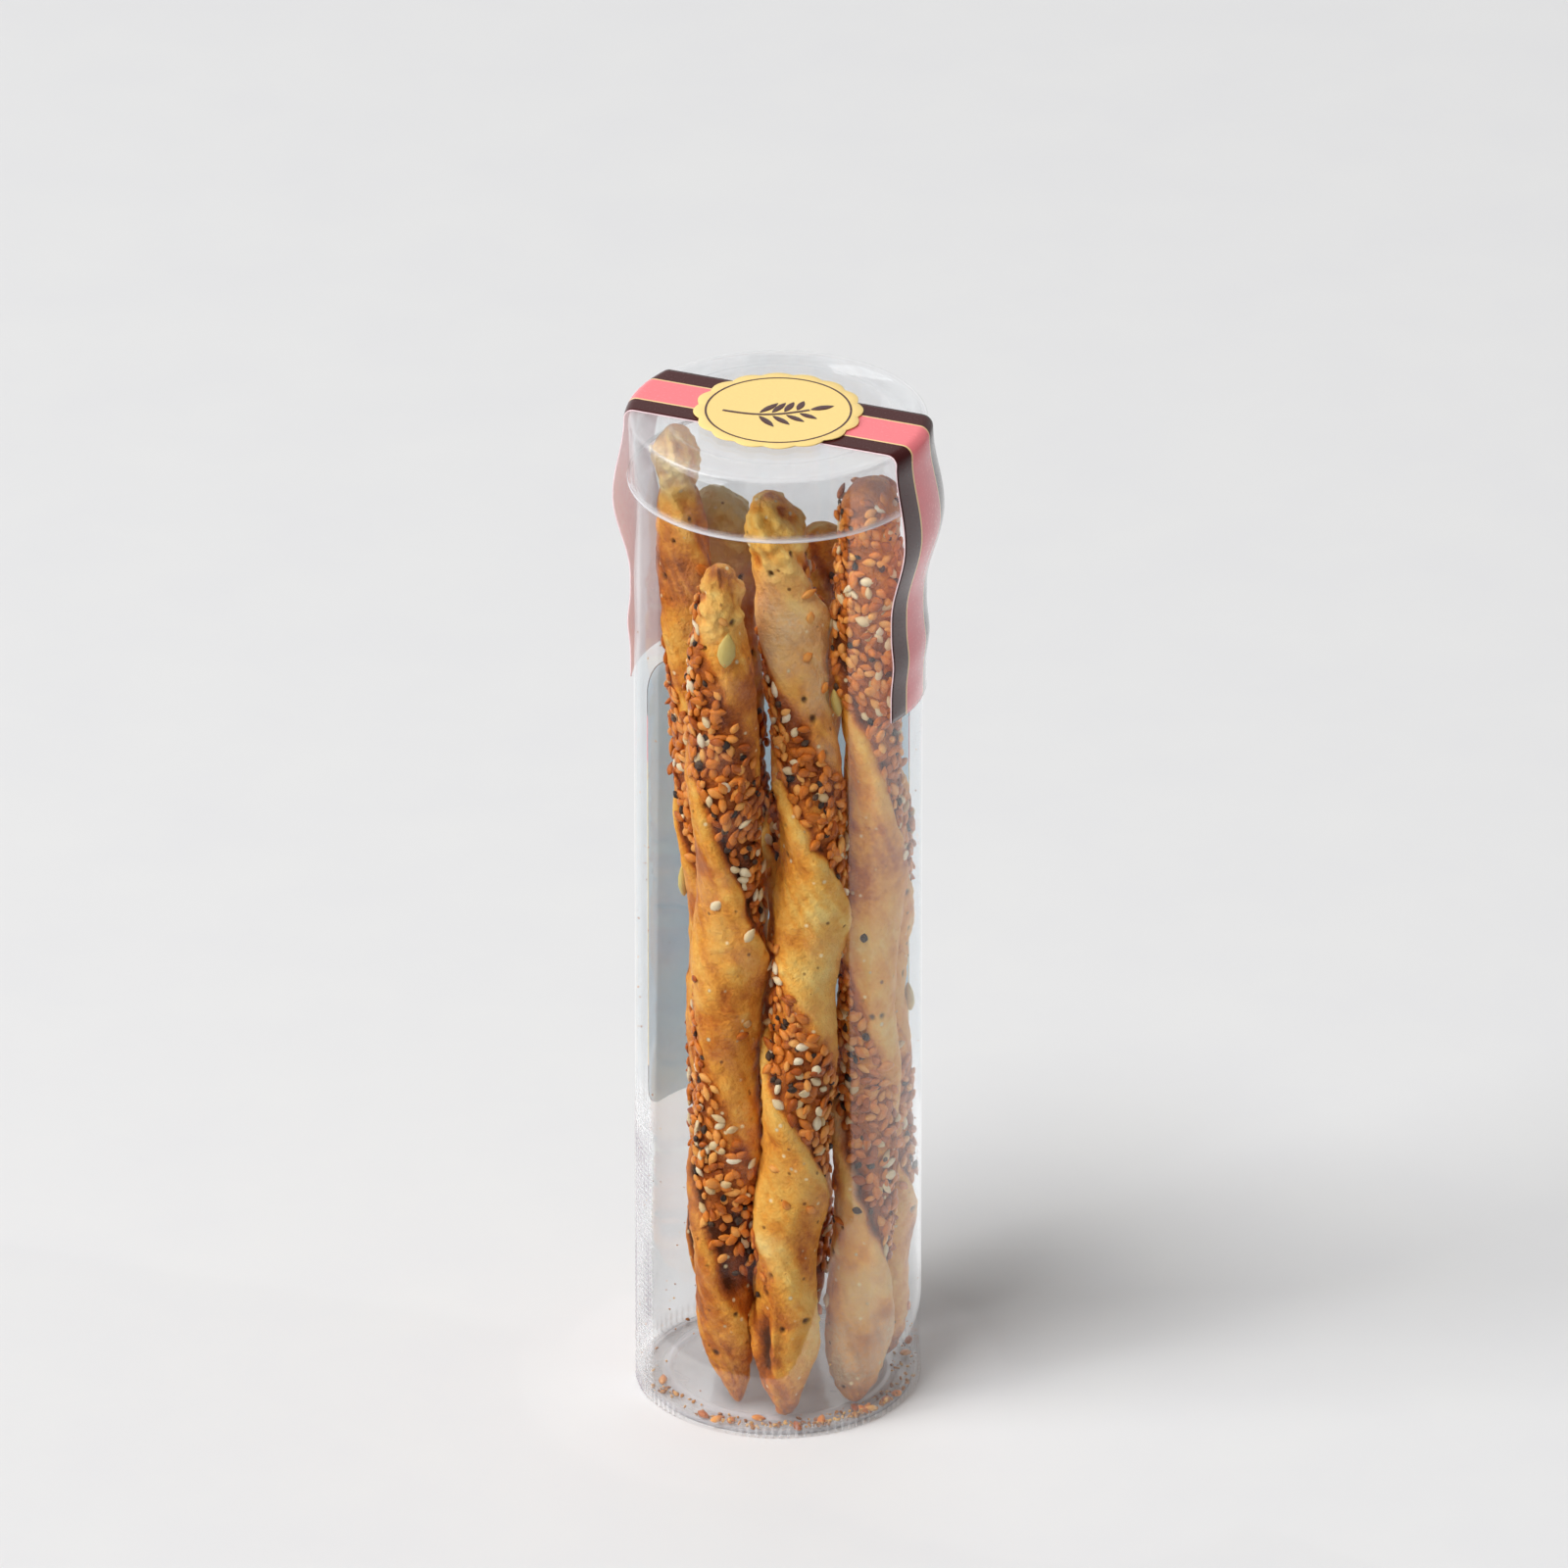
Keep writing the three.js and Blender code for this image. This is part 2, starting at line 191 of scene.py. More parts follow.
def grain(points, size, seed):
    """Smooth unevenness from -1 to 1: the lattice's numbers, one size apart, blended between cells."""
    scaled = points / size
    cell = np.floor(scaled).astype(np.int64)
    part = scaled - cell
    blend = part * part * part * (part * (part * 6 - 15) + 10)
    total = 0.0
    for corner in np.ndindex(2, 2, 2):
        weight = np.prod(np.where(np.array(corner) == 1, blend, 1 - blend), axis=-1)
        total = total + weight * lattice(cell + np.array(corner), seed)
    return total * 2 - 1


def nearest_spot(points, size, seed):
    """Distance to the nearest of the spots strewn one to a cell, and that spot's own number."""
    scaled = points / size
    cell = np.floor(scaled).astype(np.int64)
    part = scaled - cell
    best = np.full(points.shape[:-1], 9.0)
    own = np.zeros(points.shape[:-1])
    for step in np.ndindex(3, 3, 3):
        offset = np.array(step) - 1
        home = cell + offset
        spot = np.stack([lattice(home, seed + axis) for axis in range(3)], -1)
        gap = np.linalg.norm(offset + spot - part, axis=-1)
        nearer = gap < best
        best = np.where(nearer, gap, best)
        own = np.where(nearer, lattice(home, seed + 3), own)
    return best * size, own


def turned(points, angle):
    """Points turned about Z by an angle."""
    c, s = math.cos(angle), math.sin(angle)
    x, y, z = points[..., 0], points[..., 1], points[..., 2]
    return np.stack([x * c - y * s, x * s + y * c, z], -1)


def inside(points, limit):
    """Points drawn in to the tube's axis where they would be further out than the limit."""
    reach = np.hypot(points[..., 0], points[..., 1])
    share = np.minimum(1, limit / np.maximum(reach, 1e-6))
    return np.stack([points[..., 0] * share, points[..., 1] * share, points[..., 2]], -1)


def grid_quads(rows, columns, close_rows=False, close_columns=False):
    """Four-cornered faces of a grid of points, row by row, with either direction closed on itself."""
    r = np.arange(rows if close_rows else rows - 1)[:, None]
    c = np.arange(columns if close_columns else columns - 1)[None, :]
    up = (r + 1) % rows
    right = (c + 1) % columns
    corners = [r * columns + c, r * columns + right, up * columns + right, up * columns + c]
    return np.stack(np.broadcast_arrays(*corners), -1).reshape(-1, 4)


def fans(rows, columns):
    """Three-cornered faces that close a round grid's first and last rows on two added points."""
    c = np.arange(columns)
    right = (c + 1) % columns
    first = rows * columns
    last = (rows - 1) * columns
    low = np.stack([np.full(columns, first), right, c], -1)
    high = np.stack([np.full(columns, first + 1), last + c, last + right], -1)
    return np.concatenate([low, high])


def piece(name, points, quads, triangles=None, traits=None, finishes=(), slots=None, sharp=False):
    """A mesh object from arrays of points in millimetres, faces, numbers per point and materials."""
    mesh = bpy.data.meshes.new(name)
    points = np.asarray(points, float).reshape(-1, 3)
    triangles = np.zeros((0, 3), int) if triangles is None else triangles
    corners = np.concatenate([quads.ravel(), triangles.ravel()]).astype(np.int32)
    starts = np.concatenate([np.arange(len(quads)) * 4, len(quads) * 4 + np.arange(len(triangles)) * 3])
    mesh.vertices.add(len(points))
    mesh.vertices.foreach_set("co", (points * MM).astype(np.float32).ravel())
    mesh.loops.add(len(corners))
    mesh.loops.foreach_set("vertex_index", corners)
    mesh.polygons.add(len(starts))
    mesh.polygons.foreach_set("loop_start", starts.astype(np.int32))
    mesh.update(calc_edges=True)
    mesh.polygons.foreach_set("use_smooth", np.full(len(starts), not sharp))
    for key, values in (traits or {}).items():
        layer = mesh.attributes.new(key, "FLOAT", "POINT")
        layer.data.foreach_set("value", np.asarray(values, np.float32).ravel())
    for finish in finishes:
        mesh.materials.append(finish)
    if slots is not None:
        mesh.polygons.foreach_set("material_index", slots.astype(np.int32))
    mesh.validate()
    made = bpy.data.objects.new(name, mesh)
    bpy.context.scene.collection.objects.link(made)
    return made


def dressed(made, slot, *nodes):
    """A piece that moves with the pack and stands for its solids, which it hides. The slot is not used.
    """
    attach(made, "root")
    if nodes:
        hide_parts(*nodes)
    return made


def plate_faces(rows, columns):
    """Faces of a thin plate from two grids, upper then lower: both sides and the edge between them."""
    count = rows * columns
    upper = grid_quads(rows, columns)
    lower = count + upper[:, ::-1]
    south = np.arange(columns)
    north = (rows - 1) * columns + south
    west = np.arange(rows) * columns
    east = west + columns - 1
    edge = np.concatenate([south, east[1:], north[::-1][1:], west[::-1][1:-1]])
    after = np.roll(edge, -1)
    rim = np.stack([edge, edge + count, after + count, after], -1)
    return np.concatenate([upper, lower, rim]), len(upper), len(lower)


def turned_profile(radius, height, columns):
    """A profile of radius and height carried round the pack's axis: radius times cosine and sine."""
    angle = np.arange(columns) * TURN / columns
    x = radius[:, None] * np.cos(angle)
    y = radius[:, None] * np.sin(angle)
    return np.stack([x, y, np.broadcast_to(height[:, None], x.shape)], -1)


def arc(middle, radius, start, end, steps):
    """Radius and height along a circular arc, from one angle in degrees to another."""
    angle = np.radians(np.linspace(start, end, steps))
    return middle[0] + radius * np.cos(angle), middle[1] + radius * np.sin(angle)


def joined_profile(*stretches):
    """Stretches of a profile, each a pair of radii and heights, laid end to end."""
    radius = np.concatenate([np.atleast_1d(s[0]).astype(float) for s in stretches])
    height = np.concatenate([np.atleast_1d(s[1]).astype(float) for s in stretches])
    return radius, height


def seen(red, green, blue):
    """A colour as it is seen, 0 to 255 a channel, turned into linear light."""
    c = np.array((red, green, blue), float) / 255
    linear = np.where(c <= 0.04045, c / 12.92, ((c + 0.055) / 1.055) ** 2.4)
    return (*linear.tolist(), 1.0)


# Materials: every finish is a small tree of nodes

def new_finish(name):
    """An empty material and its tree."""
    material = bpy.data.materials.new(name)
    material.use_nodes = True
    material.node_tree.nodes.clear()
    return material, material.node_tree


def put(tree, kind, inputs=None, **settings):
    """A node with its settings; an input that is a socket is linked, and any other value is set."""
    node = tree.nodes.new("ShaderNode" + kind)
    for key, value in settings.items():
        setattr(node, key, value)
    for key, value in (inputs or {}).items():
        if isinstance(value, bpy.types.NodeSocket):
            tree.links.new(value, node.inputs[key])
        else:
            node.inputs[key].default_value = value
    return node


def sum_of(tree, a, b, operation="ADD", clamp=False):
    """The result of a Math node on two values or sockets."""
    return put(tree, "Math", {0: a, 1: b}, operation=operation, use_clamp=clamp).outputs[0]


def trait(tree, name):
    """A number that the mesh carries at each point."""
    return put(tree, "Attribute", attribute_name=name).outputs["Fac"]


def ramp(tree, factor, stops, sharp=False):
    """A colour read from stops of position and colour."""
    node = put(tree, "ValToRGB", {0: factor})
    scale = node.color_ramp
    scale.interpolation = "CONSTANT" if sharp else "LINEAR"
    for place, colour in stops[1:-1]:
        scale.elements.new(place).color = colour
    scale.elements[0].position, scale.elements[0].color = stops[0]
    scale.elements[-1].position, scale.elements[-1].color = stops[-1]
    return node.outputs[0]


def blended(tree, factor, a, b):
    """Two colours mixed by a factor."""
    node = put(tree, "Mix", {0: factor, 6: a, 7: b}, data_type="RGBA")
    return node.outputs[2]


def noise(tree, scale, detail=3.0, roughness=0.55, stretch=None):
    """Noise on Object coordinates, at so many features a metre, stretched along the axes if asked."""
    place = put(tree, "TexCoord").outputs["Object"]
    if stretch:
        place = put(tree, "Mapping", {"Vector": place, "Scale": stretch}).outputs[0]
    return put(tree, "TexNoise", {
        "Vector": place, "Scale": scale, "Detail": detail, "Roughness": roughness}).outputs[0]


def mapped(tree, value, low, high, first, last):
    """A value carried from one range to another, and held at the ends."""
    return put(tree, "MapRange", {0: value, 1: low, 2: high, 3: first, 4: last}).outputs[0]


def bumps(tree, height, distance, strength=1.0, under=None):
    """A bump normal from a height, laid over another bump if one is given."""
    inputs = {"Height": height, "Distance": distance, "Strength": strength}
    if under is not None:
        inputs["Normal"] = under
    return put(tree, "Bump", inputs).outputs[0]


def surfaced(tree, shader):
    """The shader joined to the material's output."""
    put(tree, "OutputMaterial", {"Surface": shader})


def crust_finish():
    """Baked dough: browning with painted shade and highlight in it, from a number the mesh carries, and
    two noises, then flour, freckles, air bubbles and dark pits."""
    material, tree = new_finish("baked_crust")
    fine = noise(tree, 1500, 5, 0.65)
    patch = noise(tree, 280, 3)
    level = sum_of(tree, trait(tree, "bake_and_painted_light"), sum_of(tree, sum_of(tree, fine, -0.5), 0.42, "MULTIPLY"))
    level = sum_of(tree, level, sum_of(tree, sum_of(tree, patch, -0.5), 0.36, "MULTIPLY"), clamp=True)
    colour = ramp(tree, level, [
        (0.0, seen(252, 216, 128)), (0.2, seen(249, 192, 92)), (0.4, seen(240, 162, 60)),
        (0.6, seen(204, 113, 34)), (0.8, seen(152, 74, 23)), (1.0, seen(84, 39, 14))])
    dust = sum_of(tree, trait(tree, "flour"), sum_of(tree, fine, 1.5, "MULTIPLY"), "MULTIPLY", True)
    colour = blended(tree, dust, colour, seen(246, 228, 186))
    place = put(tree, "TexCoord").outputs["Object"]
    freckles = put(tree, "TexVoronoi", {"Vector": place, "Scale": 430.0})
    near = mapped(tree, freckles.outputs["Distance"], 0.1, 0.2, 0.75, 0.0)
    own = put(tree, "SeparateColor", {0: freckles.outputs["Color"]})
    brown = sum_of(tree, near, sum_of(tree, own.outputs[0], 0.7, "GREATER_THAN"), "MULTIPLY")
    white = sum_of(tree, near, sum_of(tree, own.outputs[1], 0.72, "GREATER_THAN"), "MULTIPLY")
    colour = blended(tree, brown, colour, seen(116, 62, 26))
    colour = blended(tree, white, colour, seen(255, 236, 188))
    colour = blended(tree, trait(tree, "pit"), colour, seen(66, 36, 18))
    normal = bumps(tree, noise(tree, 700, 4), 0.0006, 0.9)
    normal = bumps(tree, noise(tree, 2200, 5), 0.0003, 0.9, normal)
    rough = mapped(tree, patch, 0.3, 0.7, 0.42, 0.62)
    shader = put(tree, "BsdfPrincipled", {
        "Base Color": colour, "Roughness": rough, "Normal": normal, "Specular IOR Level": 0.4})
    surfaced(tree, shader.outputs[0])
    return material


def seed_finish(name, light, middle, dark, roughness):
    """A seed's coat: one of three shades by the seed's own number, mottled, darker at its point."""
    material, tree = new_finish(name)
    mottle = sum_of(tree, sum_of(tree, noise(tree, 1300, 3), -0.5), 0.5, "MULTIPLY")
    level = sum_of(tree, trait(tree, "shade"), mottle)
    level = sum_of(tree, level, sum_of(tree, trait(tree, "point"), 0.22, "MULTIPLY"), clamp=True)
    colour = ramp(tree, level, [(0.0, light), (0.5, middle), (1.0, dark)])
    normal = bumps(tree, noise(tree, 3000, 3), 0.0001, 0.4)
    shader = put(tree, "BsdfPrincipled", {
        "Base Color": colour, "Roughness": roughness, "Normal": normal, "Specular IOR Level": 0.5})
    surfaced(tree, shader.outputs[0])
    return material


def clear_finish(name, haze, scratch):
    """Clear plastic: light goes through, gloss grows with the fourth power of the slant, a faint haze
    lies on it, and welds and moulded edges are painted milky by a number the mesh carries, a painted
    highlight and refraction standing in for the light these edges pipe and bend."""
    material, tree = new_finish(name)
    slant = put(tree, "LayerWeight", {"Blend": 0.5}).outputs["Facing"]
    steep = sum_of(tree, sum_of(tree, slant, 4.0, "POWER"), 0.4, "MULTIPLY")
    gloss = sum_of(tree, steep, 0.05, clamp=True)
    streaks = noise(tree, 500, 4, 0.6, (1.0, 1.0, scratch))
    normal = bumps(tree, streaks, 0.00004, 0.25)
    rough = mapped(tree, streaks, 0.35, 0.75, 0.02, 0.09)
    through = put(tree, "BsdfTransparent", {"Color": (0.985, 0.988, 0.99, 1)})
    shine = put(tree, "BsdfGlossy", {"Color": (1, 1, 1, 1), "Roughness": rough, "Normal": normal})
    clear = put(tree, "MixShader", {0: gloss, 1: through.outputs[0], 2: shine.outputs[0]})
    smear = mapped(tree, noise(tree, 120, 5), 0.5, 0.85, 0.0, haze)
    dust = put(tree, "BsdfDiffuse", {"Color": seen(236, 236, 238)})
    hazy = put(tree, "MixShader", {0: smear, 1: clear.outputs[0], 2: dust.outputs[0]})
    # The milky mix is painted light: near white where it is light and mauve-grey where it is strong, as
    # the bright and dark dots that refraction makes in a weld.
    milky_painted_light = trait(tree, "milky_painted_light")
    tint = ramp(tree, milky_painted_light, [(0.3, seen(246, 246, 248)), (0.9, seen(150, 138, 150))])
    milk = put(tree, "BsdfPrincipled", {"Base Color": tint, "Roughness": 0.25, "Specular IOR Level": 0.8})
    shader = put(tree, "MixShader", {0: milky_painted_light, 1: hazy.outputs[0], 2: milk.outputs[0]})
    surfaced(tree, shader.outputs[0])
    return material


def paper_finish(name, stops, along, roughness, fibre=0.04):
    """Printed paper: fields of colour across the mesh's own measure, with the paper's fibre in them, and
    more gloss where the mesh's film number says."""
    material, tree = new_finish(name)
    colour = ramp(tree, trait(tree, along), stops, sharp=True)
    grains = noise(tree, 2200, 4, 0.6)
    light = mapped(tree, grains, 0.2, 0.8, 1 - fibre, 1 + fibre)
    colour = put(tree, "Mix", {0: 1.0, 6: colour, 7: light},
                 data_type="RGBA", blend_type="MULTIPLY").outputs[2]
    normal = bumps(tree, noise(tree, 1800, 3), 0.00006, 0.4)
    rough = mapped(tree, grains, 0.2, 0.8, roughness - 0.05, roughness + 0.07)
    shader = put(tree, "BsdfPrincipled", {
        "Base Color": colour, "Roughness": rough, "Normal": normal, "Specular IOR Level": 0.1,
        "Coat Weight": trait(tree, "film"), "Coat Roughness": 0.12, "Coat IOR": 1.75})
    surfaced(tree, shader.outputs[0])
    return material


def plain_finish(name, light, dark, scale, roughness, bump, through=(0, 0, 0, 1), glow=0.0):
    """One material in two near shades, mottled by noise, with a low bump. Thin paper is also given a
    painted glow, as a colour and its strength, standing in for light coming through from its other side."""
    material, tree = new_finish(name)
    mottle = noise(tree, scale, 4)
    colour = ramp(tree, mottle, [(0.3, light), (0.7, dark)])
    normal = bumps(tree, mottle, bump, 0.5)
    shader = put(tree, "BsdfPrincipled", {
        "Base Color": colour, "Roughness": roughness, "Normal": normal,
        "Emission Color": through, "Emission Strength": glow})
    surfaced(tree, shader.outputs[0])
    return material


def glow_finish(name, strength):
    """A plain card that glows white, or stays black at no strength."""
    material, tree = new_finish(name)
    shader = put(tree, "Emission", {"Color": (1, 1, 1, 1), "Strength": strength})
    surfaced(tree, shader.outputs[0])
    return material


# The breadsticks

def stick_axis(stick, share):
    """Centre line: straight from foot to head, plus a half-sine bow, a full-sine sway and the lean of
    the toe."""
    length = stick["top"] - STICK_FOOT
    toe = np.clip(1 - share * length / stick["taper"], 0, 1) ** 2
    course = zip(stick["foot"], stick["head"], stick["bow"], stick["sway"], stick["toe"])
    flat = [f + (h - f) * share + b * np.sin(np.pi * share) + w * np.sin(TURN * share) + t * toe
            for f, h, b, w, t in course]
    return np.stack([*flat, STICK_FOOT + length * share], -1)


def stick_skin(stick, psi, share, seed, fine=True):
    """Points of the crust, and its traits.

    psi is the angle in the strip's own section and share the part of the height. The section is an
    ellipse with a raised lip and a groove beside it, turned by a left-handed twist, thinned to both
    ends, and roughened with lumps, streaks, blisters, pits, torn crags and a torn hollow.
    """
    length = stick["top"] - STICK_FOOT
    rise = share * length
    run = np.stack([rise, np.full_like(rise, 5.0 * seed), np.zeros_like(rise)], -1)
    slack = 0.16 * grain(run, 19.0, 6)
    angle = psi + math.radians(stick["turn"]) - TURN * rise / stick["pitch"] + slack
    around = wrapped(psi)
    ellipse = HALF_WIDTH * HALF_THICK / np.hypot(HALF_THICK * np.cos(psi), HALF_WIDTH * np.sin(psi))
    fold = 0.5 * hump(around, -0.1, 0.35) - 0.6 * hump(around, 0.45, 0.25)
    foot = np.sin(np.pi / 2 * np.minimum(rise / stick["taper"], 1)) ** stick["tip"]
    head = np.sqrt(np.clip(1 - (1 - np.minimum((length - rise) / HEAD_TAPER, 1)) ** 2, 0, 1))
    waist = 1 - stick["neck"][1] * hump(rise + STICK_FOOT, stick["neck"][0], 3.0)
    thin = 1 - stick["slim"][1] * smooth(rise + STICK_FOOT, stick["slim"][0] - 3, stick["slim"][0] + 5)
    fullness = foot * head * waist * thin * stick["girth"] * (1 + 0.035 * grain(run, 13.0, 7))
    out = np.stack([np.cos(angle), np.sin(angle), np.zeros_like(angle)], -1)
    axis = stick_axis(stick, share)
    base = axis + (fullness * (ellipse + fold))[..., None] * out
    place = base + 131.0 * seed

    edge = 0.12 + 0.24 * grain(run, 8.0, 3) + 0.1 * grain(run, 3.0, 4)
    far = SEED_FACE[1] + 0.25 * grain(run, 9.0, 5)
    crest = np.where(around < edge, hump(around, edge, 0.26), hump(around, edge, 0.08))
    seeded = smooth(around, edge + 0.05, edge + 0.3) * (1 - smooth(around, far - 0.25, far + 0.15))
    tear = stick["torn"] * smooth(rise, length - 16, length - 7)
    start, end = stick["seeds"][0] - STICK_FOOT, stick["seeds"][1] - STICK_FOOT
    covered = smooth(rise, start - 9, start + 1) * (1 - smooth(rise, end - 1, end + 9))
    seeded = np.maximum(seeded, smooth(rise + STICK_FOOT, stick["crown"] - 4, stick["crown"] + 6))
    seeded = seeded * (1 - 0.9 * tear) * (0.2 + 0.8 * covered)
    bare = 1 - seeded

    relief = 0.28 * crest + 0.36 * grain(place, 11, 11) + 0.26 * grain(place, 4.6, 12)
    if not fine:
        return inside(base + (relief * np.sqrt(np.clip(foot * head, 0, 1)))[..., None] * out, WALL_LIMIT)

    lumps = 0.2 * grain(place, 2.4, 13) + 0.11 * grain(place, 1.2, 14)
    line = np.stack([around * 4.6, rise / 11, np.full_like(rise, 3.0 * seed)], -1)
    streaks = grain(line, 1.0, 15) * bare
    blister_gap, blister_own = nearest_spot(place, 6.5, 21)
    blister = np.clip(1 - blister_gap / (1.0 + 1.3 * blister_own), 0, 1) ** 2
    blister = blister * (blister_own > 0.45) * bare
    pit_gap, pit_own = nearest_spot(place, 4.6, 31)
    pit = (1 - smooth(pit_gap, 0.25, 0.45 + 0.65 * pit_own ** 2)) * (pit_own > 0.4) * (0.35 + 0.65 * bare)
    crags = 0.8 * grain(place, 4.2, 16) + 0.85 * grain(place, 2.1, 17) + 0.4 * grain(place, 1.1, 24)
    frayed = (1 - smooth(rise, 3, 15)) * (0.45 * grain(place, 2.0, 23) + 0.25 * grain(place, 1.0, 25))
    aside = wrapped(angle - CURL_FACING)
    hollow = stick["curl"] * hump(rise, CURL_HEIGHT, 6.5) * hump(aside, 0.0, 0.3)
    lip = stick["curl"] * hump(rise, CURL_HEIGHT + 2, 6.5) * hump(aside, 0.52, 0.15)
    relief = relief + lumps + 0.11 * streaks + 0.45 * blister - 0.45 * pit + tear * crags + frayed
    relief = relief + 0.9 * lip - 1.7 * hollow + 0.5 * hollow * crags
    ends = np.sqrt(np.clip(foot * head, 0, 1))
    points = inside(base + (relief * ends)[..., None] * out, WALL_LIMIT)

    # The browning number carries painted light as well as real browning: the groove beside the fold's
    # crest is darkened as painted shade, the crest and the curl's lip are lightened as painted highlight,
    # and the torn hollow is darkened as painted shade. It is also lighter on raised lumps and darker in
    # the dips of the torn crags.
    groove = hump(around, edge + 0.26, 0.18)
    bake_and_painted_light = 0.39 + stick["tone"] + 0.18 * grain(place, 15, 18) + 0.16 * grain(place, 5.5, 19)
    bake_and_painted_light = bake_and_painted_light + 0.27 * seeded + 0.24 * groove * (0.25 + 0.75 * covered) - 0.13 * crest + 0.08 * streaks
    # Pale lightens the torn head: the pale torn dough, and on the back left stick painted light against
    # its shade.
    bake_and_painted_light = bake_and_painted_light - 0.14 * blister - 0.4 * lumps - (0.2 + stick["pale"]) * tear * (1 - 0.6 * seeded)
    bake_and_painted_light = bake_and_painted_light + 0.1 * (1 - smooth(rise, 2, 15)) + 0.42 * tear * np.clip(-crags, 0, 1)
    bake_and_painted_light = bake_and_painted_light + stick["scorch"] * (1 - smooth(rise, 22, 48)) + 0.42 * hollow - 0.1 * lip
    low, high = stick["flour"]
    floury = smooth(rise, low - 6, low + 6) * (1 - smooth(rise, high - 5, high + 5)) * (high > low)
    floury = floury * (0.42 + 0.5 * grain(place, 6, 20)) + 0.12 * grain(place, 9, 22)
    flour = bare * np.clip(floury, 0, 0.75)
    return points, {"bake_and_painted_light": bake_and_painted_light, "flour": flour, "pit": np.clip(pit, 0, 0.9)}


def stick_piece(stick, seed, finish):
    """One stick's dough, a grid of psi by share closed round and fanned shut at both tips."""
    columns, rows = stick["grid"]
    t = np.linspace(0.0015, 0.9985, rows)
    share = 0.72 * t + 0.28 * (0.5 - 0.5 * np.cos(np.pi * t))
    psi = np.arange(columns) * TURN / columns
    psi, share = np.meshgrid(psi, share)
    points, traits = stick_skin(stick, psi, share, seed)
    tips = stick_axis(stick, np.array([0.0, 1.0]))
    tips[0, 2] = points[0, :, 2].mean() - 0.15
    tips[1, 2] = points[-1, :, 2].mean()
    points = np.concatenate([points.reshape(-1, 3), tips])
    traits = {key: np.concatenate([v.ravel(), v[0, :1], v[-1, :1]]) for key, v in traits.items()}
    made = piece(stick["node"] + "_dough", points, grid_quads(rows, columns, close_columns=True),
                 fans(rows, columns), traits, [finish])
    return dressed(made, "crust", stick["node"])


# Seeds and crumbs

def seed_form(sides=6):
    """A teardrop seed of unit length, width and thickness: rings of an ellipse whose half width is a
    sine of a power of the way along, itself raised to 0.85, with a point at each end. Gives points,
    faces and the way along."""
    along = np.array([0.12, 0.36, 0.64, 0.9])
    angle = np.arange(sides) * TURN / sides
    half = 0.5 * np.sin(np.pi * along ** 0.85) ** 0.85
    x = np.broadcast_to((along - 0.5)[:, None], (len(along), sides))
    y = half[:, None] * np.cos(angle)
    z = half[:, None] * np.sin(angle)
    ring = np.stack([x, y, z], -1).reshape(-1, 3)
    points = np.concatenate([ring, [[-0.5, 0, 0], [0.5, 0, 0]]])
    quads = grid_quads(len(along), sides, close_columns=True)
    return points, quads, fans(len(along), sides), np.concatenate([np.repeat(along, sides), [0, 1]])


def strewn(name, form, spots, finish, slot, limit=TUBE_INNER - 0.03, rough=0.0, seed=1):
    """One mesh of many copies of a form: each point is its spot plus the form's x, y and z along the
    spot's own three directions, times its sizes. Rough moves the points by a noise."""
    points, quads, triangles, way = form
    scaled = points[None] * spots["size"][:, None, :]
    placed = spots["at"][:, None] + np.einsum("nvk,nkj->nvj", scaled, spots["frame"])
    if rough:
        wander = np.stack([grain(placed, 0.8, seed + k) for k in range(3)], -1)
        placed = placed + rough * wander * spots["size"].min(-1)[:, None, None]
    placed = inside(placed, limit)
    count, each = placed.shape[:2]
    shift = (np.arange(count) * each)[:, None, None]
    traits = {"shade": np.repeat(spots["shade"], each), "point": np.tile(way ** 3, count)}
    made = piece(name, placed, (quads[None] + shift).reshape(-1, 4),
                 (triangles[None] + shift).reshape(-1, 3), traits, [finish])
    return dressed(made, slot)


def lying(up, heading):
    """Three directions for a thing on a surface: its heading laid in the surface, across and up."""
    up = up / np.linalg.norm(up, axis=-1, keepdims=True)
    along = heading - np.sum(heading * up, -1, keepdims=True) * up
    along = along / np.linalg.norm(along, axis=-1, keepdims=True)
    return np.stack([along, np.cross(up, along), up], 1)


def on_skin(stick, seed, psi, share):
    """Points on the crust with the outward direction there, from the slopes along and around it."""
    turn, climb = 0.05, 0.004

    def skin(aside, above):
        return stick_skin(stick, psi + aside, share + above, seed, fine=False)

    around = skin(turn, 0) - skin(-turn, 0)
    rise = skin(0, climb) - skin(0, -climb)
    return skin(0, 0), np.cross(around, rise)


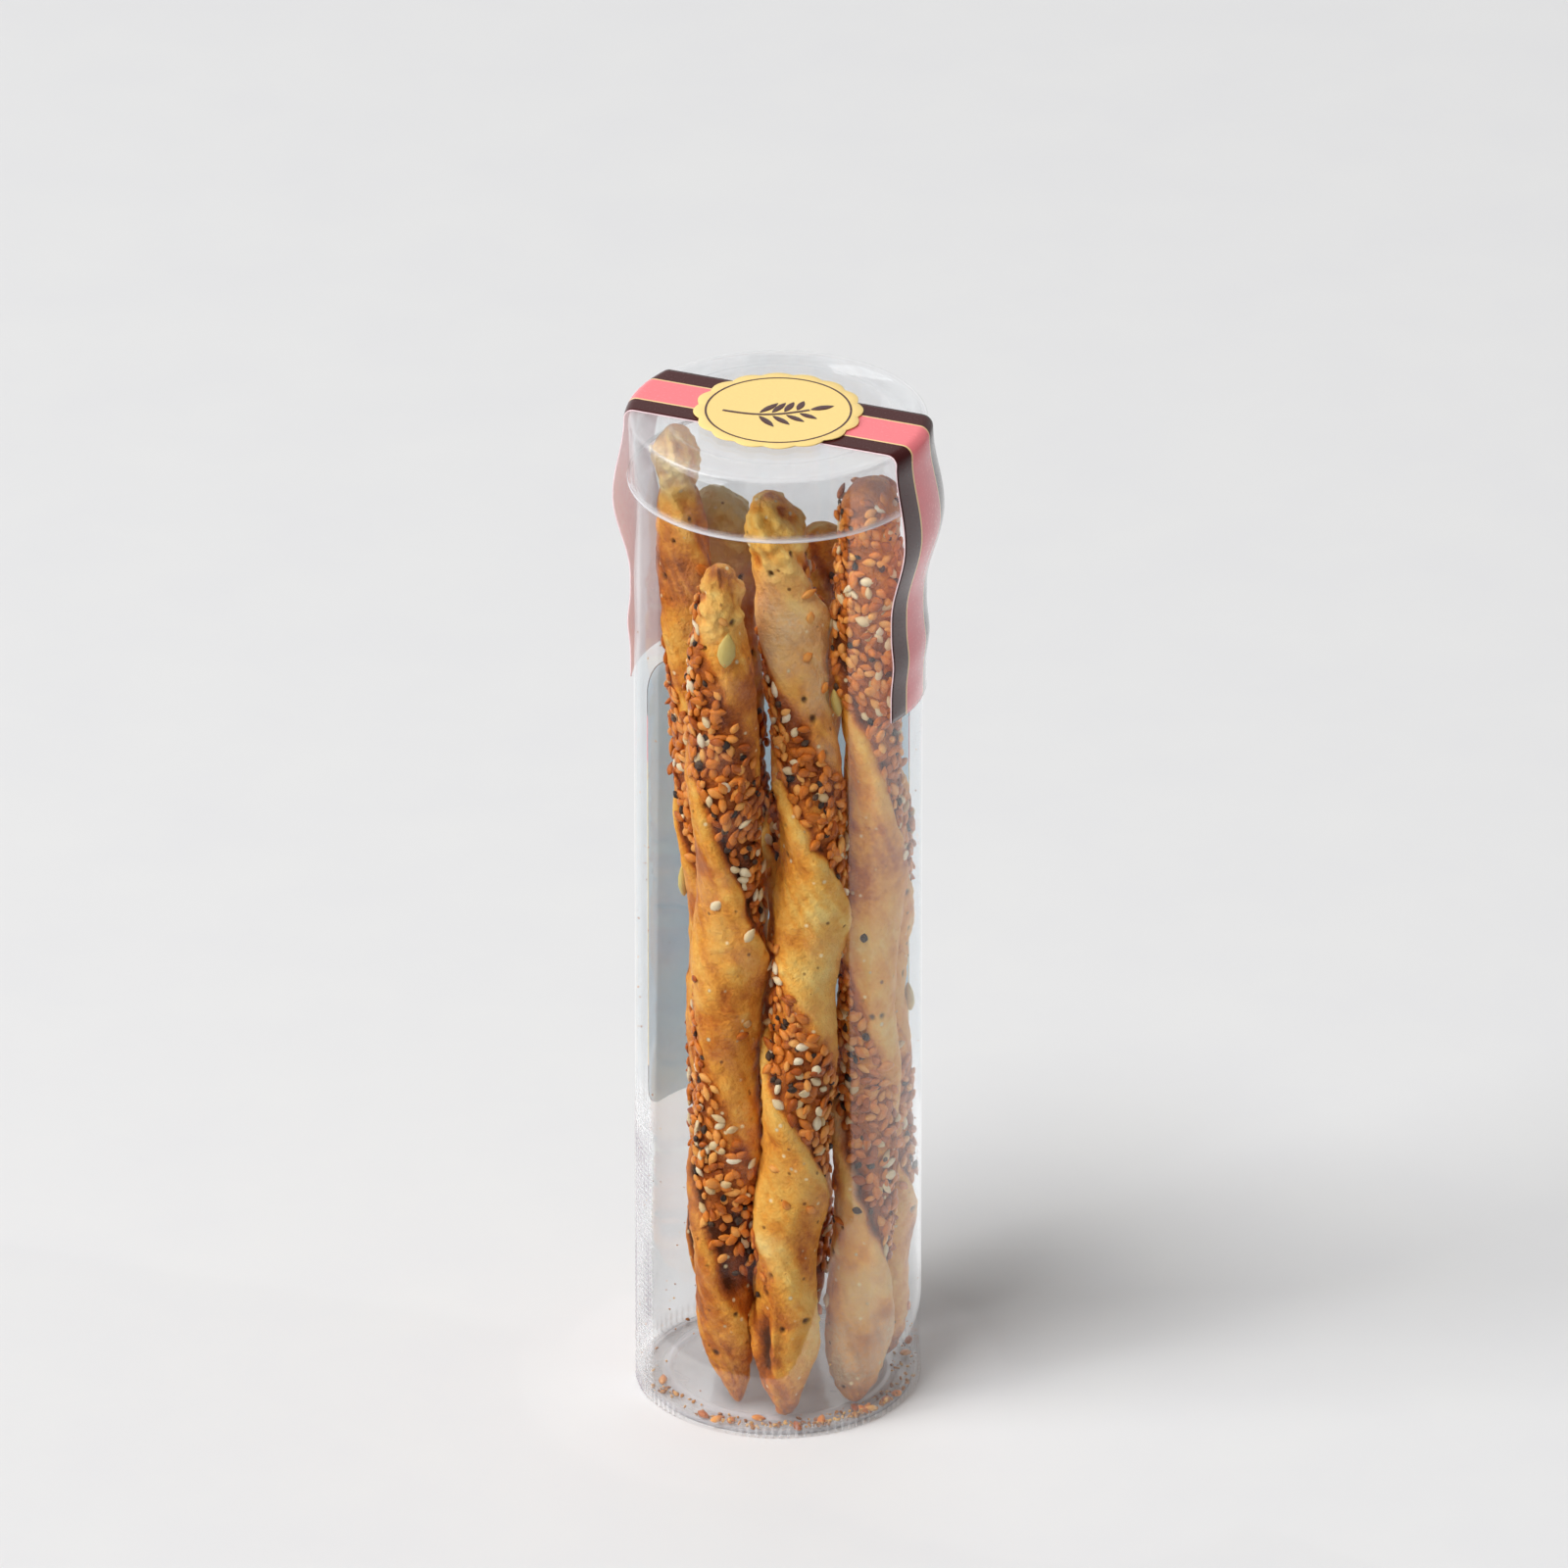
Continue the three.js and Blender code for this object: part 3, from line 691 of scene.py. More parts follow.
def seed_spots(stick, seed):
    """Where one stick's seeds lie: a grid of rows up the seeded face, every other row half a step
    along, shaken, thinned, with a few strays on the bare dough, a few on top of the rest, and a crown
    at some heads."""
    draw = np.random.default_rng(400 + seed)
    length = stick["top"] - STICK_FOOT
    span = SEED_FACE[1] - SEED_FACE[0] - 0.1
    rows = int((SEED_SHARES[1] - SEED_SHARES[0]) * length / SEED_ROW)
    steps = int(span * 5.6 / SEED_STEP) + 1
    row, step = [a.ravel() for a in np.meshgrid(np.arange(rows), np.arange(steps), indexing="ij")]
    share = SEED_SHARES[0] + (row + draw.uniform(-SEED_SHAKE, SEED_SHAKE, row.size)) * SEED_ROW / length
    along = step + 0.5 * (row % 2) + draw.uniform(-SEED_SHAKE, SEED_SHAKE, row.size)
    psi = SEED_FACE[0] + 0.12 + along * span / steps
    first, last = [(height - STICK_FOOT) / length for height in stick["seeds"]]
    keep = draw.random(row.size) < SEEDS_KEPT
    keep = keep & (share > first + 0.02 * draw.normal(size=row.size)) & (share < last)
    share, psi = share[keep], psi[keep]
    extra = int(0.22 * share.size)
    stray = int(0.03 * share.size)
    top_share = draw.uniform(first, last, extra)
    top_psi = draw.normal(1.5, 0.5, extra)
    stray_share = draw.uniform(*SEED_SHARES, stray)
    stray_psi = draw.uniform(SEED_FACE[1], TURN + SEED_FACE[0], stray)
    crown = int(max(0, stick["seeds"][1] - stick["crown"]) * CROWN_SEEDS)
    crown_share = draw.uniform(last - crown / CROWN_SEEDS / length, last, crown)
    crown_psi = draw.uniform(SEED_FACE[1] - 0.2, TURN + SEED_FACE[0] + 0.2, crown)
    stray_share = np.concatenate([stray_share, crown_share])
    stray_psi = np.concatenate([stray_psi, crown_psi])
    stray += crown
    share = np.concatenate([share, top_share, stray_share])
    psi = np.concatenate([psi, top_psi, stray_psi])
    lift = np.concatenate([np.zeros(keep.sum()), np.full(extra, 0.55), np.full(stray, -0.1)])
    at, up = on_skin(stick, seed, psi, np.clip(share, 0.01, 0.985))
    up = up / np.linalg.norm(up, axis=-1, keepdims=True)
    heading = draw.normal(size=at.shape) + np.array([0, 0, 0.35])
    tilted = up + draw.normal(0, 0.16, at.shape) + np.concatenate(
        [np.zeros((keep.sum(), 3)), draw.normal(0, 0.22, (extra, 3)), np.zeros((stray, 3))])
    kind = draw.random(share.size)
    size = draw.normal(1.0, 0.1, (share.size, 1)) * draw.normal(1.0, 0.07, (share.size, 3))
    shade = draw.beta(2.0, 2.0, share.size)
    return {"at": at, "up": up, "frame": lying(tilted, heading), "kind": kind, "size": size,
            "shade": shade, "lift": lift}


def of_kind(found, low, high, form_size):
    """The spots whose kind number is in a range, with sizes for one kind of seed, set on the crust."""
    pick = (found["kind"] >= low) & (found["kind"] < high)
    size = found["size"][pick] * np.array(form_size)
    raised = found["at"][pick] + found["up"][pick] * (found["lift"][pick] + 0.22 * size[:, 2])[:, None]
    return {"at": raised, "frame": found["frame"][pick], "size": size, "shade": found["shade"][pick]}


def together(parts):
    """Several sets of spots as one."""
    return {key: np.concatenate([p[key] for p in parts]) for key in parts[0]}


def kernel_spots():
    """The few large kernels: the stick, the height and the direction that each one faces, in degrees."""
    chosen = [(0, 152.0, -86, 78), (2, 137.0, -150, 60),
              (4, 96.0, 170, 70), (5, 118.0, 95, 40), (6, 84.0, 70, 110), (3, 72.0, 10, 60)]
    parts = []
    for stick_index, height, facing, lean in chosen:
        stick = STICKS[stick_index]
        length = stick["top"] - STICK_FOOT
        share = np.array([(height - STICK_FOOT) / length])
        psi = np.radians(facing - stick["turn"]) + TURN * share * length / stick["pitch"]
        at, up = on_skin(stick, stick_index + 1, psi, share)
        up = up / np.linalg.norm(up, axis=-1, keepdims=True)
        heading = np.array([[math.cos(math.radians(lean)), 0.0, math.sin(math.radians(lean))]])
        parts.append({"at": at + up * 0.75, "frame": lying(up, heading),
                      "size": np.array([KERNEL]), "shade": np.array([0.3])})
    return together(parts)


def crumb_form():
    """A crumb of unit size: a ball of four rings and six sides."""
    along = np.array([0.12, 0.37, 0.63, 0.88])
    angle = np.arange(6) * TURN / 6
    half = 0.5 * np.sin(np.pi * along)
    x = np.broadcast_to((-0.5 * np.cos(np.pi * along))[:, None], (4, 6))
    ring = np.stack([x, half[:, None] * np.cos(angle), half[:, None] * np.sin(angle)], -1).reshape(-1, 3)
    points = np.concatenate([ring, [[-0.5, 0, 0], [0.5, 0, 0]]])
    return points, grid_quads(4, 6, close_columns=True), fans(4, 6), np.full(26, 0.3)


def fallen_spots(count, seed, sizes, spread):
    """Things that lie on the base near the wall, thickest at the front right: the angle is drawn round
    that side, the radius towards the wall, and the height is the base's top plus half the thing."""
    draw = np.random.default_rng(seed)
    angle = np.radians(np.where(draw.random(count) < 0.8, draw.normal(-62, spread, count),
                                draw.uniform(0, 360, count)))
    radius = 24.3 - 4.6 * draw.random(count) ** 1.7
    size = draw.uniform(*sizes, (count, 1)) * draw.uniform(0.65, 1.2, (count, 3))
    floor = np.where(radius < BASE_STEP_RADIUS, BASE_THICK + BASE_STEP, BASE_THICK)
    floor = np.where(radius > ROLL_INNER - 0.3, 1.75, floor)
    heap = 0.5 * draw.random(count) * hump(radius, 23.4, 1.4)
    height = floor + 0.42 * size.min(-1) + heap
    at = np.stack([radius * np.cos(angle), radius * np.sin(angle), height], -1)
    up = np.array([0, 0, 1.0]) + draw.normal(0, 0.3, at.shape)
    return {"at": at, "frame": lying(up, draw.normal(size=at.shape)), "size": size,
            "shade": draw.random(count)}


def clinging_spots(count, seed):
    """Fine crumbs that cling to the inside of the wall, thicker near the base."""
    draw = np.random.default_rng(seed)
    angle = draw.uniform(0, TURN, count)
    height = 4 + 150 * draw.random(count) ** 2.2
    at = np.stack([24.5 * np.cos(angle), 24.5 * np.sin(angle), height], -1)
    size = draw.uniform(0.16, 0.42, (count, 1)) * draw.uniform(0.7, 1.2, (count, 3))
    up = -at * np.array([1, 1, 0])
    return {"at": at, "frame": lying(up, draw.normal(size=at.shape)), "size": size,
            "shade": draw.random(count)}


# The clear tube, base and cap

def tube_piece(finish):
    """The tube: a closed profile carried round, up the outer wall, over the rim, down the inner wall
    and round the rolled lower edge. The side weld adds crossed waves, the base weld waves round the
    edge."""
    low = np.linspace(0.55, WELD_TOP, 136)
    high = np.linspace(WELD_TOP, TUBE_RIM, 20)[1:]
    back = np.linspace(TUBE_RIM, 2.4, 24)
    outer = np.concatenate([low, high])
    radius, height = joined_profile(
        arc((TUBE_RADIUS - 0.5, 0.5), 0.5, -90, -10, 6),
        (np.full(outer.size, TUBE_RADIUS), outer),
        (np.full(back.size, TUBE_INNER), back),
        ([24.62, 24.4, 24.15, 23.98, ROLL_INNER, ROLL_INNER, 24.0, 24.25],
         [1.95, 1.72, 1.6, 1.48, 1.25, 0.35, 0.1, 0.0]))
    grid = turned_profile(radius, height, TUBE_COLUMNS)
    angle = np.arctan2(grid[..., 1], grid[..., 0])
    z = grid[..., 2]
    outside = (np.arange(radius.size) < 6 + outer.size)[:, None]
    off = wrapped(angle - WELD_ANGLE)
    band = 1 - smooth(np.abs(off), 0.75 * WELD_HALF, WELD_HALF)
    band = band * (1 - smooth(z, WELD_TOP - 14, WELD_TOP))
    across = off * TUBE_RADIUS
    knurl = np.sin(TURN * (z + across) / WELD_PITCH) * np.sin(TURN * (z - across) / WELD_PITCH)
    ripple = np.sin(angle * RIM_RIPPLES) * (1 - smooth(z, 1.6, 3.2)) * smooth(z, 0.05, 0.5)
    ripple = ripple * (0.5 + 0.5 * grain(grid, 9.0, 41))
    sag = 0.05 * grain(grid * np.array([1, 1, 0.3]), 16, 42) * smooth(z, 4, 30)
    move = outside * (WELD_RELIEF * band * knurl + RIM_RELIEF * ripple - RIM_RELIEF) + sag
    share = 1 + move / np.hypot(grid[..., 0], grid[..., 1])
    grid = np.stack([grid[..., 0] * share, grid[..., 1] * share, z], -1)
    quads = grid_quads(radius.size, TUBE_COLUMNS, close_rows=True, close_columns=True)
    # The knurled side weld and the rippled base weld are painted milky in their ridges, painted
    # refraction and highlight standing in for the light the ridges bend and catch.
    seam = band * smooth(knurl, -0.35, 0.35) * (0.75 + 0.35 * grain(grid, 6.0, 43))
    rim = 0.55 * (1 - smooth(z, 1.8, 3.4)) * smooth(np.sin(angle * RIM_RIPPLES), -0.4, 0.8)
    rim = rim * (0.5 + 0.5 * grain(grid, 7.0, 44))
    milky_painted_light = np.clip(outside * np.maximum(seam, rim), 0, 1)
    made = piece("tube_shell", grid, quads, None, {"milky_painted_light": milky_painted_light}, [finish])
    return dressed(made, "clear_plastic", "tube_wall")


def round_piece(name, radius, height, columns, finish, slot, node, milky_painted_light):
    """A solid of revolution: the profile starts and ends near the axis, where fans close it. The last
    argument is how milky each point of the profile is painted, as painted highlight and brightening."""
    grid = turned_profile(radius, height, columns)
    ends = np.array([[0, 0, height[0]], [0, 0, height[-1]]])
    points = np.concatenate([grid.reshape(-1, 3), ends])
    quads = grid_quads(radius.size, columns, close_columns=True)
    milky = np.concatenate([np.repeat(milky_painted_light, columns), milky_painted_light[[0, -1]]])
    made = piece(name, points, quads, fans(radius.size, columns), {"milky_painted_light": milky}, [finish])
    return dressed(made, slot, node)


def cap_piece(finish):
    """The cap: under the top from the axis outwards, down inside the skirt, round its bead, up outside,
    round the fillet and back to the axis over the ring groove."""
    inner = PACK_HEIGHT - 0.5
    groove = np.linspace(GROOVE_RADIUS + GROOVE_HALF, GROOVE_RADIUS - GROOVE_HALF, 11)
    dip = GROOVE_DEPTH * np.cos(np.pi * (groove - GROOVE_RADIUS) / (2 * GROOVE_HALF)) ** 2
    radius, height = joined_profile(
        (np.linspace(0.3, 25.1, 8), np.full(8, inner)),
        arc((25.25, inner - 0.25), 0.25, 75, 0, 5),
        (np.full(10, CAP_INNER), np.linspace(inner - 0.7, CAP_LOW + 0.1, 10)),
        ([CAP_INNER + 0.1], [CAP_LOW]),
        arc((CAP_BEAD_RADIUS - 0.25, CAP_LOW + 0.25), 0.25, -90, 60, 7),
        ([CAP_RADIUS + 0.03], [CAP_LOW + 0.75]),
        (np.full(10, CAP_RADIUS), np.linspace(CAP_LOW + 1.1, PACK_HEIGHT - CAP_FILLET, 10)),
        arc((CAP_RADIUS - CAP_FILLET, PACK_HEIGHT - CAP_FILLET), CAP_FILLET, 8, 90, 10),
        (np.linspace(24.3, GROOVE_RADIUS + GROOVE_HALF + 0.2, 5), np.full(5, PACK_HEIGHT)),
        (groove, PACK_HEIGHT - dip),
        (np.linspace(18.6, 0.3, 8), np.full(8, PACK_HEIGHT)))
    # The bead at the skirt's foot, the top's outer edge and the ring groove are painted milky, a painted
    # highlight standing in for the light that moulded edges pipe and bend.
    bead = 0.5 * (1 - smooth(height, CAP_LOW + 0.3, CAP_LOW + 0.8))
    edge = 0.16 * hump(height, PACK_HEIGHT - 0.35, 0.35) * (radius > CAP_INNER - 0.9)
    milky_painted_light = bead + edge + 0.12 * hump(radius, GROOVE_RADIUS, 0.5) * (height > PACK_HEIGHT - 0.4)
    return round_piece("cap_shell", radius, height, 256, finish, "clear_plastic", "cap", milky_painted_light)


def base_piece(finish):
    """The base disc: under it from the axis outwards, up its edge, over the step to its higher middle."""
    top = BASE_THICK + BASE_STEP
    step = np.linspace(BASE_STEP_RADIUS + 0.5, BASE_STEP_RADIUS - 0.5, 7)
    radius, height = joined_profile(
        (np.linspace(0.3, BASE_STEP_RADIUS - 1.0, 6), np.full(6, 0.4)),
        ([BASE_STEP_RADIUS - 0.2, BASE_STEP_RADIUS + 0.4], [0.3, 0.02]),
        (np.linspace(20.6, BASE_EDGE - 0.15, 4), np.zeros(4)),
        ([BASE_EDGE, BASE_EDGE], [0.15, BASE_THICK - 0.15]),
        (np.linspace(BASE_EDGE - 0.15, 20.6, 4), np.full(4, BASE_THICK)),
        (step, BASE_THICK + BASE_STEP * (1 - smooth(step, step.min(), step.max()))),
        (np.linspace(18.5, 0.3, 6), np.full(6, top)))
    # The whole base is painted a little milky, a painted brightening against the shadow on the floor
    # under it, and its step and edge more so, as painted edge highlight.
    milky_painted_light = 0.26 + 0.25 * hump(radius, BASE_STEP_RADIUS, 0.6) + 0.3 * hump(radius, BASE_EDGE, 0.5)
    return round_piece("base_shell", radius, height, 192, finish, "clear_plastic", "base_disc", milky_painted_light)


# The paper

def tail_radius(share):
    """How far a tail hangs from the axis: off the cap's rim, out in a bulge, in to the tube, and out
    in a ripple."""
    drawn = SEAL_RADIUS + (SEAL_TAIL_RADIUS - SEAL_RADIUS) * smooth(share, 0.3, 0.62)
    bulge = SEAL_BULGE * np.sin(np.pi * np.minimum(share / 0.6, 1)) ** 2
    return drawn + bulge + SEAL_RIPPLE * np.sin(np.pi * smooth(share, 0.62, 0.95)) ** 2


def strip_side(lift):
    """One face of the strip: across lines that run up one tail, round the bend, over the cap and down
    the other tail. Lift is the distance above the strip's underside."""
    y = np.linspace(-SEAL_WIDTH / 2, SEAL_WIDTH / 2, 29)[None, :]
    rim = np.sqrt(SEAL_RADIUS ** 2 - y ** 2)
    flat = rim - SEAL_BEND
    share = np.linspace(1, 0, 64)[:-1, None]
    scale = (tail_radius(share) + lift) / SEAL_RADIUS
    drop = SEAL_FLAT - SEAL_BEND - SEAL_TAIL * share
    tail = np.stack(np.broadcast_arrays(rim * scale, y * scale, drop), -1)
    turn = np.linspace(np.pi / 2, 0, 9)[:-1, None]
    bend = np.stack(np.broadcast_arrays(
        flat + (SEAL_BEND + lift) * np.sin(turn), y + 0 * turn,
        SEAL_FLAT - SEAL_BEND + (SEAL_BEND + lift) * np.cos(turn)), -1)
    right = np.concatenate([tail, bend])
    left = right[::-1] * np.array([-1, 1, 1])
    over = np.linspace(1, -1, 40)[:, None]
    top = np.stack(np.broadcast_arrays(flat * over, y + 0 * over, SEAL_FLAT + lift + 0 * over * y), -1)
    return np.concatenate([right, top, left])


def strip_piece(printed, plain):
    """The seal strip: its printed face and its underside, joined along the edges."""
    upper = turned(strip_side(SEAL_THICK), SEAL_TURN)
    lower = turned(strip_side(0.0), SEAL_TURN)
    rows, columns = upper.shape[:2]
    faces, up_count, _ = plate_faces(rows, columns)
    slots = np.zeros(len(faces))
    slots[up_count:] = 1
    across = np.tile(np.linspace(0, 1, columns), rows)
    film = 1 - smooth(upper[..., 2].ravel(), SEAL_FLAT - 5, SEAL_FLAT - 1)
    points = np.concatenate([upper.reshape(-1, 3), lower.reshape(-1, 3)])
    made = piece("seal_strip_paper", points, faces, None,
                 {"across": np.tile(across, 2), "film": np.tile(film, 2)}, [printed, plain], slots)
    return dressed(made, "strip_paper", "seal_strip")


def lobed_edge(angle):
    """The disc's edge: the radius, less the depth of a notch times one minus a rectified cosine."""
    return DISC_RADIUS - LOBE_DEPTH * (1 - np.abs(np.cos(angle * DISC_LOBES / 2)))


def disc_piece(finish):
    """The scalloped disc: shares of the lobed edge's radius, out along the underside and back over
    the top."""
    columns = 320
    angle = np.arange(columns) * TURN / columns
    share = np.concatenate([np.linspace(0.02, 0.995, 10), [1.0, 1.0], np.linspace(0.995, 0.02, 10)])
    edge = [DISC_LOW + 0.04, DISC_HIGH - 0.04]
    height = np.concatenate([np.full(10, DISC_LOW), edge, np.full(10, DISC_HIGH)])
    reach = share[:, None] * lobed_edge(angle)[None, :]
    grid = np.stack([reach * np.cos(angle), reach * np.sin(angle), height[:, None] + 0 * reach], -1)
    points = np.concatenate([grid.reshape(-1, 3), [[0, 0, DISC_LOW], [0, 0, DISC_HIGH]]])
    quads = grid_quads(share.size, columns, close_columns=True)
    made = piece("seal_disc_paper", turned(points, SEAL_TURN), quads, fans(share.size, columns),
                 {"across": np.full(len(points), 0.5)}, [finish])
    return dressed(made, "disc_paper", "seal_disc")


def leaf_print(start, heading, length, width):
    """A printed grain: a lens whose half width is a sine of the way along, raised to 0.8."""
    t = np.linspace(0, 1, 15)[:, None]
    v = np.linspace(-1, 1, 5)[None, :]
    half = 0.5 * width * np.sin(np.pi * t) ** 0.8
    c, s = math.cos(heading), math.sin(heading)
    x = start[0] + length * t * c - half * v * s
    y = start[1] + length * t * s + half * v * c
    return np.stack([x, y, 0 * x], -1)


def line_print(points, width):
    """A printed line: points along a path, with half the width to either side of it."""
    ahead = np.gradient(points, axis=0)
    ahead = ahead / np.linalg.norm(ahead, axis=-1, keepdims=True)
    aside = np.stack([-ahead[:, 1], ahead[:, 0]], -1)
    v = np.linspace(-0.5, 0.5, 5)[None, :, None] * width
    flat = points[:, None, :] + aside[:, None, :] * v
    return np.concatenate([flat, np.zeros((*flat.shape[:2], 1))], -1)


def print_piece(finish):
    """The disc's print: an ear of wheat on a bent stem inside a thin ring, as thin closed plates."""
    t = np.linspace(0, 1, 40)
    start_x, reach, sway = -9.6, 15.0, 1.7
    stem = np.stack([start_x + reach * t, -sway * np.sin(np.pi * t)], -1)
    shapes = [line_print(stem, 0.62)]
    ring = np.linspace(0, TURN, 181)
    shapes.append(line_print(RING_RADIUS * np.stack([np.cos(ring), np.sin(ring)], -1), 0.36))
    for order in range(4):
        way = 0.42 + 0.15 * order
        x, y = start_x + reach * way, -sway * math.sin(math.pi * way)
        slope = math.atan2(-sway * math.pi * math.cos(math.pi * way), reach)
        for side in (-1, 1):
            start = (x - 0.55 * side * math.sin(slope), y + 0.55 * side * math.cos(slope))
            shapes.append(leaf_print(start, slope + side * 0.95, 5.0 - 0.4 * order, 1.3))
    shapes.append(leaf_print((5.5, 0.1), 0.34, 4.4, 1.7))
    points, faces, count = [], [], 0
    for flat in shapes:
        rows, columns = flat.shape[:2]
        low = flat + np.array([0, 0, DISC_HIGH + 0.005])
        points += [(low + np.array([0, 0, PRINT_THICK])).reshape(-1, 3), low.reshape(-1, 3)]
        faces.append(plate_faces(rows, columns)[0][:, ::-1] + count)
        count += 2 * rows * columns
    made = piece("seal_print", np.concatenate(points), np.concatenate(faces), None, None, [finish])
    return dressed(made, "disc_paper")


def label_side(radius):
    """One face of the label: a patch of a cylinder round the back, its corners rounded by arcs."""
    half = LABEL_HALF_TURN * LABEL_OUTER
    corner = np.linspace(0, np.pi / 2, 9)
    ends = half - LABEL_CORNER + LABEL_CORNER * np.sin(corner)
    middle = np.linspace(-half + LABEL_CORNER, half - LABEL_CORNER, 60)[1:-1]
    run = np.concatenate([-ends[::-1], middle, ends])
    over = np.maximum(np.abs(run) - (half - LABEL_CORNER), 0)
    inset = LABEL_CORNER - np.sqrt(np.maximum(LABEL_CORNER ** 2 - over ** 2, 0))
    v = np.linspace(0, 1, 30)[:, None]
    low, high = LABEL_LOW + inset, LABEL_HIGH - inset
    z = low[None] + (high - low)[None] * v
    angle = np.pi / 2 - run[None] / LABEL_OUTER + 0 * v
    return np.stack([radius * np.cos(angle), radius * np.sin(angle), z], -1)


def label_piece(printed, backing):
    """The back label: printed outer face, grey sticky face against the tube, joined along the edges."""
    outer, inner = label_side(LABEL_OUTER), label_side(LABEL_INNER)
    rows, columns = outer.shape[:2]
    faces, up_count, low_count = plate_faces(rows, columns)
    faces = faces[:, ::-1]
    slots = np.zeros(len(faces))
    slots[up_count:up_count + low_count] = 1
    points = np.concatenate([outer.reshape(-1, 3), inner.reshape(-1, 3)])
    tall = (points[:, 2] - LABEL_LOW) / (LABEL_HIGH - LABEL_LOW)
    made = piece("back_label_paper", points, faces, None, {"tall": tall}, [printed, backing], slots)
    return dressed(made, "label_paper", "back_label")


# Build the pack
crust = crust_finish()
for index, stick in enumerate(STICKS):
    stick_piece(stick, index + 1, crust)

golden = seed_finish("toasted_seed", seen(249, 188, 104), seen(226, 132, 48), seen(166, 80, 26), 0.34)
pale = seed_finish("pale_seed", seen(246, 234, 206), seen(236, 214, 170), seen(214, 176, 118), 0.4)
dark = seed_finish("dark_seed", seen(104, 80, 60), seen(74, 56, 45), seen(46, 36, 31), 0.5)
kernel = seed_finish("pale_kernel", seen(222, 204, 130), seen(204, 178, 98), seen(170, 130, 60), 0.45)
crumb = seed_finish("crumb", seen(236, 190, 116), seen(206, 140, 66), seen(140, 80, 36), 0.7)
found = [seed_spots(stick, index + 1) for index, stick in enumerate(STICKS)]
teardrop = seed_form()
for name, finish, size, low, high in (
        ("golden_sesame", golden, SESAME, 0.0, 0.78),
        ("pale_sesame", pale, SESAME, 0.78, 0.91),
        ("dark_seeds", dark, DARK_SEED, 0.91, 1.01)):
    strewn(name, teardrop, together([of_kind(f, low, high, size) for f in found]), finish, "crust")
strewn("large_kernels", seed_form(12), kernel_spots(), kernel, "crust")
crumbs = together([fallen_spots(260, 71, (0.25, 0.85), 46), clinging_spots(150, 72)])
strewn("crumbs", crumb_form(), crumbs, crumb, "crust", rough=0.5, seed=61)
fallen = fallen_spots(FALLEN_SEEDS, 73, (1.0, 1.0), 50) | {"size": np.tile(SESAME, (FALLEN_SEEDS, 1))}
strewn("fallen_seeds", teardrop, fallen, golden, "crust")

tube_piece(clear_finish("clear_wall", 0.03, 0.08))
cap_piece(clear_finish("clear_cap", 0.03, 0.6))
base_piece(clear_finish("clear_base", 0.12, 1.0))

BROWN = seen(70, 28, 28)
PINK = seen(246, 130, 136)
CREAM = seen(250, 212, 152)
YELLOW = seen(247, 216, 140)
strip_print = paper_finish("striped_paper", [
    (0.0, BROWN), (0.25, CREAM), (0.272, PINK), (0.728, CREAM), (0.75, BROWN)], "across", 0.24)
# The strip's underside is given a pink painted glow, standing in for light coming through the paper.
strip_back = plain_finish("paper_back", seen(222, 198, 200), seen(208, 182, 186), 900, 0.5, 0.00005,
                          (1.0, 0.78, 0.8, 1), 0.3)
disc_print = paper_finish("disc_paper_yellow", [(0.0, YELLOW), (1.0, YELLOW)], "across", 0.4)
ink = plain_finish("brown_ink", seen(78, 36, 34), seen(66, 28, 28), 1500, 0.4, 0.00002)
label_print = paper_finish("label_paper_front", [
    (0.0, BROWN), (0.1, CREAM), (0.115, seen(245, 226, 168)), (0.78, CREAM), (0.795, PINK),
    (0.9, BROWN)], "tall", 0.4)
# The label's sticky side is lightened and given a blue painted glow, standing in for light coming through
# the label.
label_back = plain_finish("label_backing", seen(196, 208, 216), seen(188, 201, 210), 700, 0.6, 0.00004,
                          (0.62, 0.85, 1.0, 1), 0.36)
strip_piece(strip_print, strip_back)
disc_piece(disc_print)
print_piece(ink)
label_piece(label_print, label_back)


# Floor, light and camera

def ground(finish):
    """A flat square of floor, a grid of four points."""
    side = 4000.0
    points = np.array([[-side, -side, 0], [side, -side, 0], [side, side, 0], [-side, side, 0]])
    made = piece("floor", points, np.array([[0, 1, 2, 3]]), None, None, [finish])
    return made


def curved_card(name, radius, low, high, start, end, finish, flare=0.0):
    """A studio card that only gloss sees: an upright or flat band round the pack, from one heading to
    another, counted in degrees from the front to the right. Flare widens it to its right end."""
    heading = np.radians(np.linspace(start, end, 60))
    reach = np.array(radius, float)[:, None] + flare * smooth(heading, 0.0, 0.9)
    x = reach * np.sin(heading)
    y = -reach * np.cos(heading)
    z = np.array([low, high])[:, None] + 0 * x
    made = piece(name, np.stack([x, y, z], -1), grid_quads(2, 60), None, None, [finish])
    for ray in ("camera", "diffuse", "transmission", "volume_scatter", "shadow"):
        setattr(made, "visible_" + ray, False)
    return made


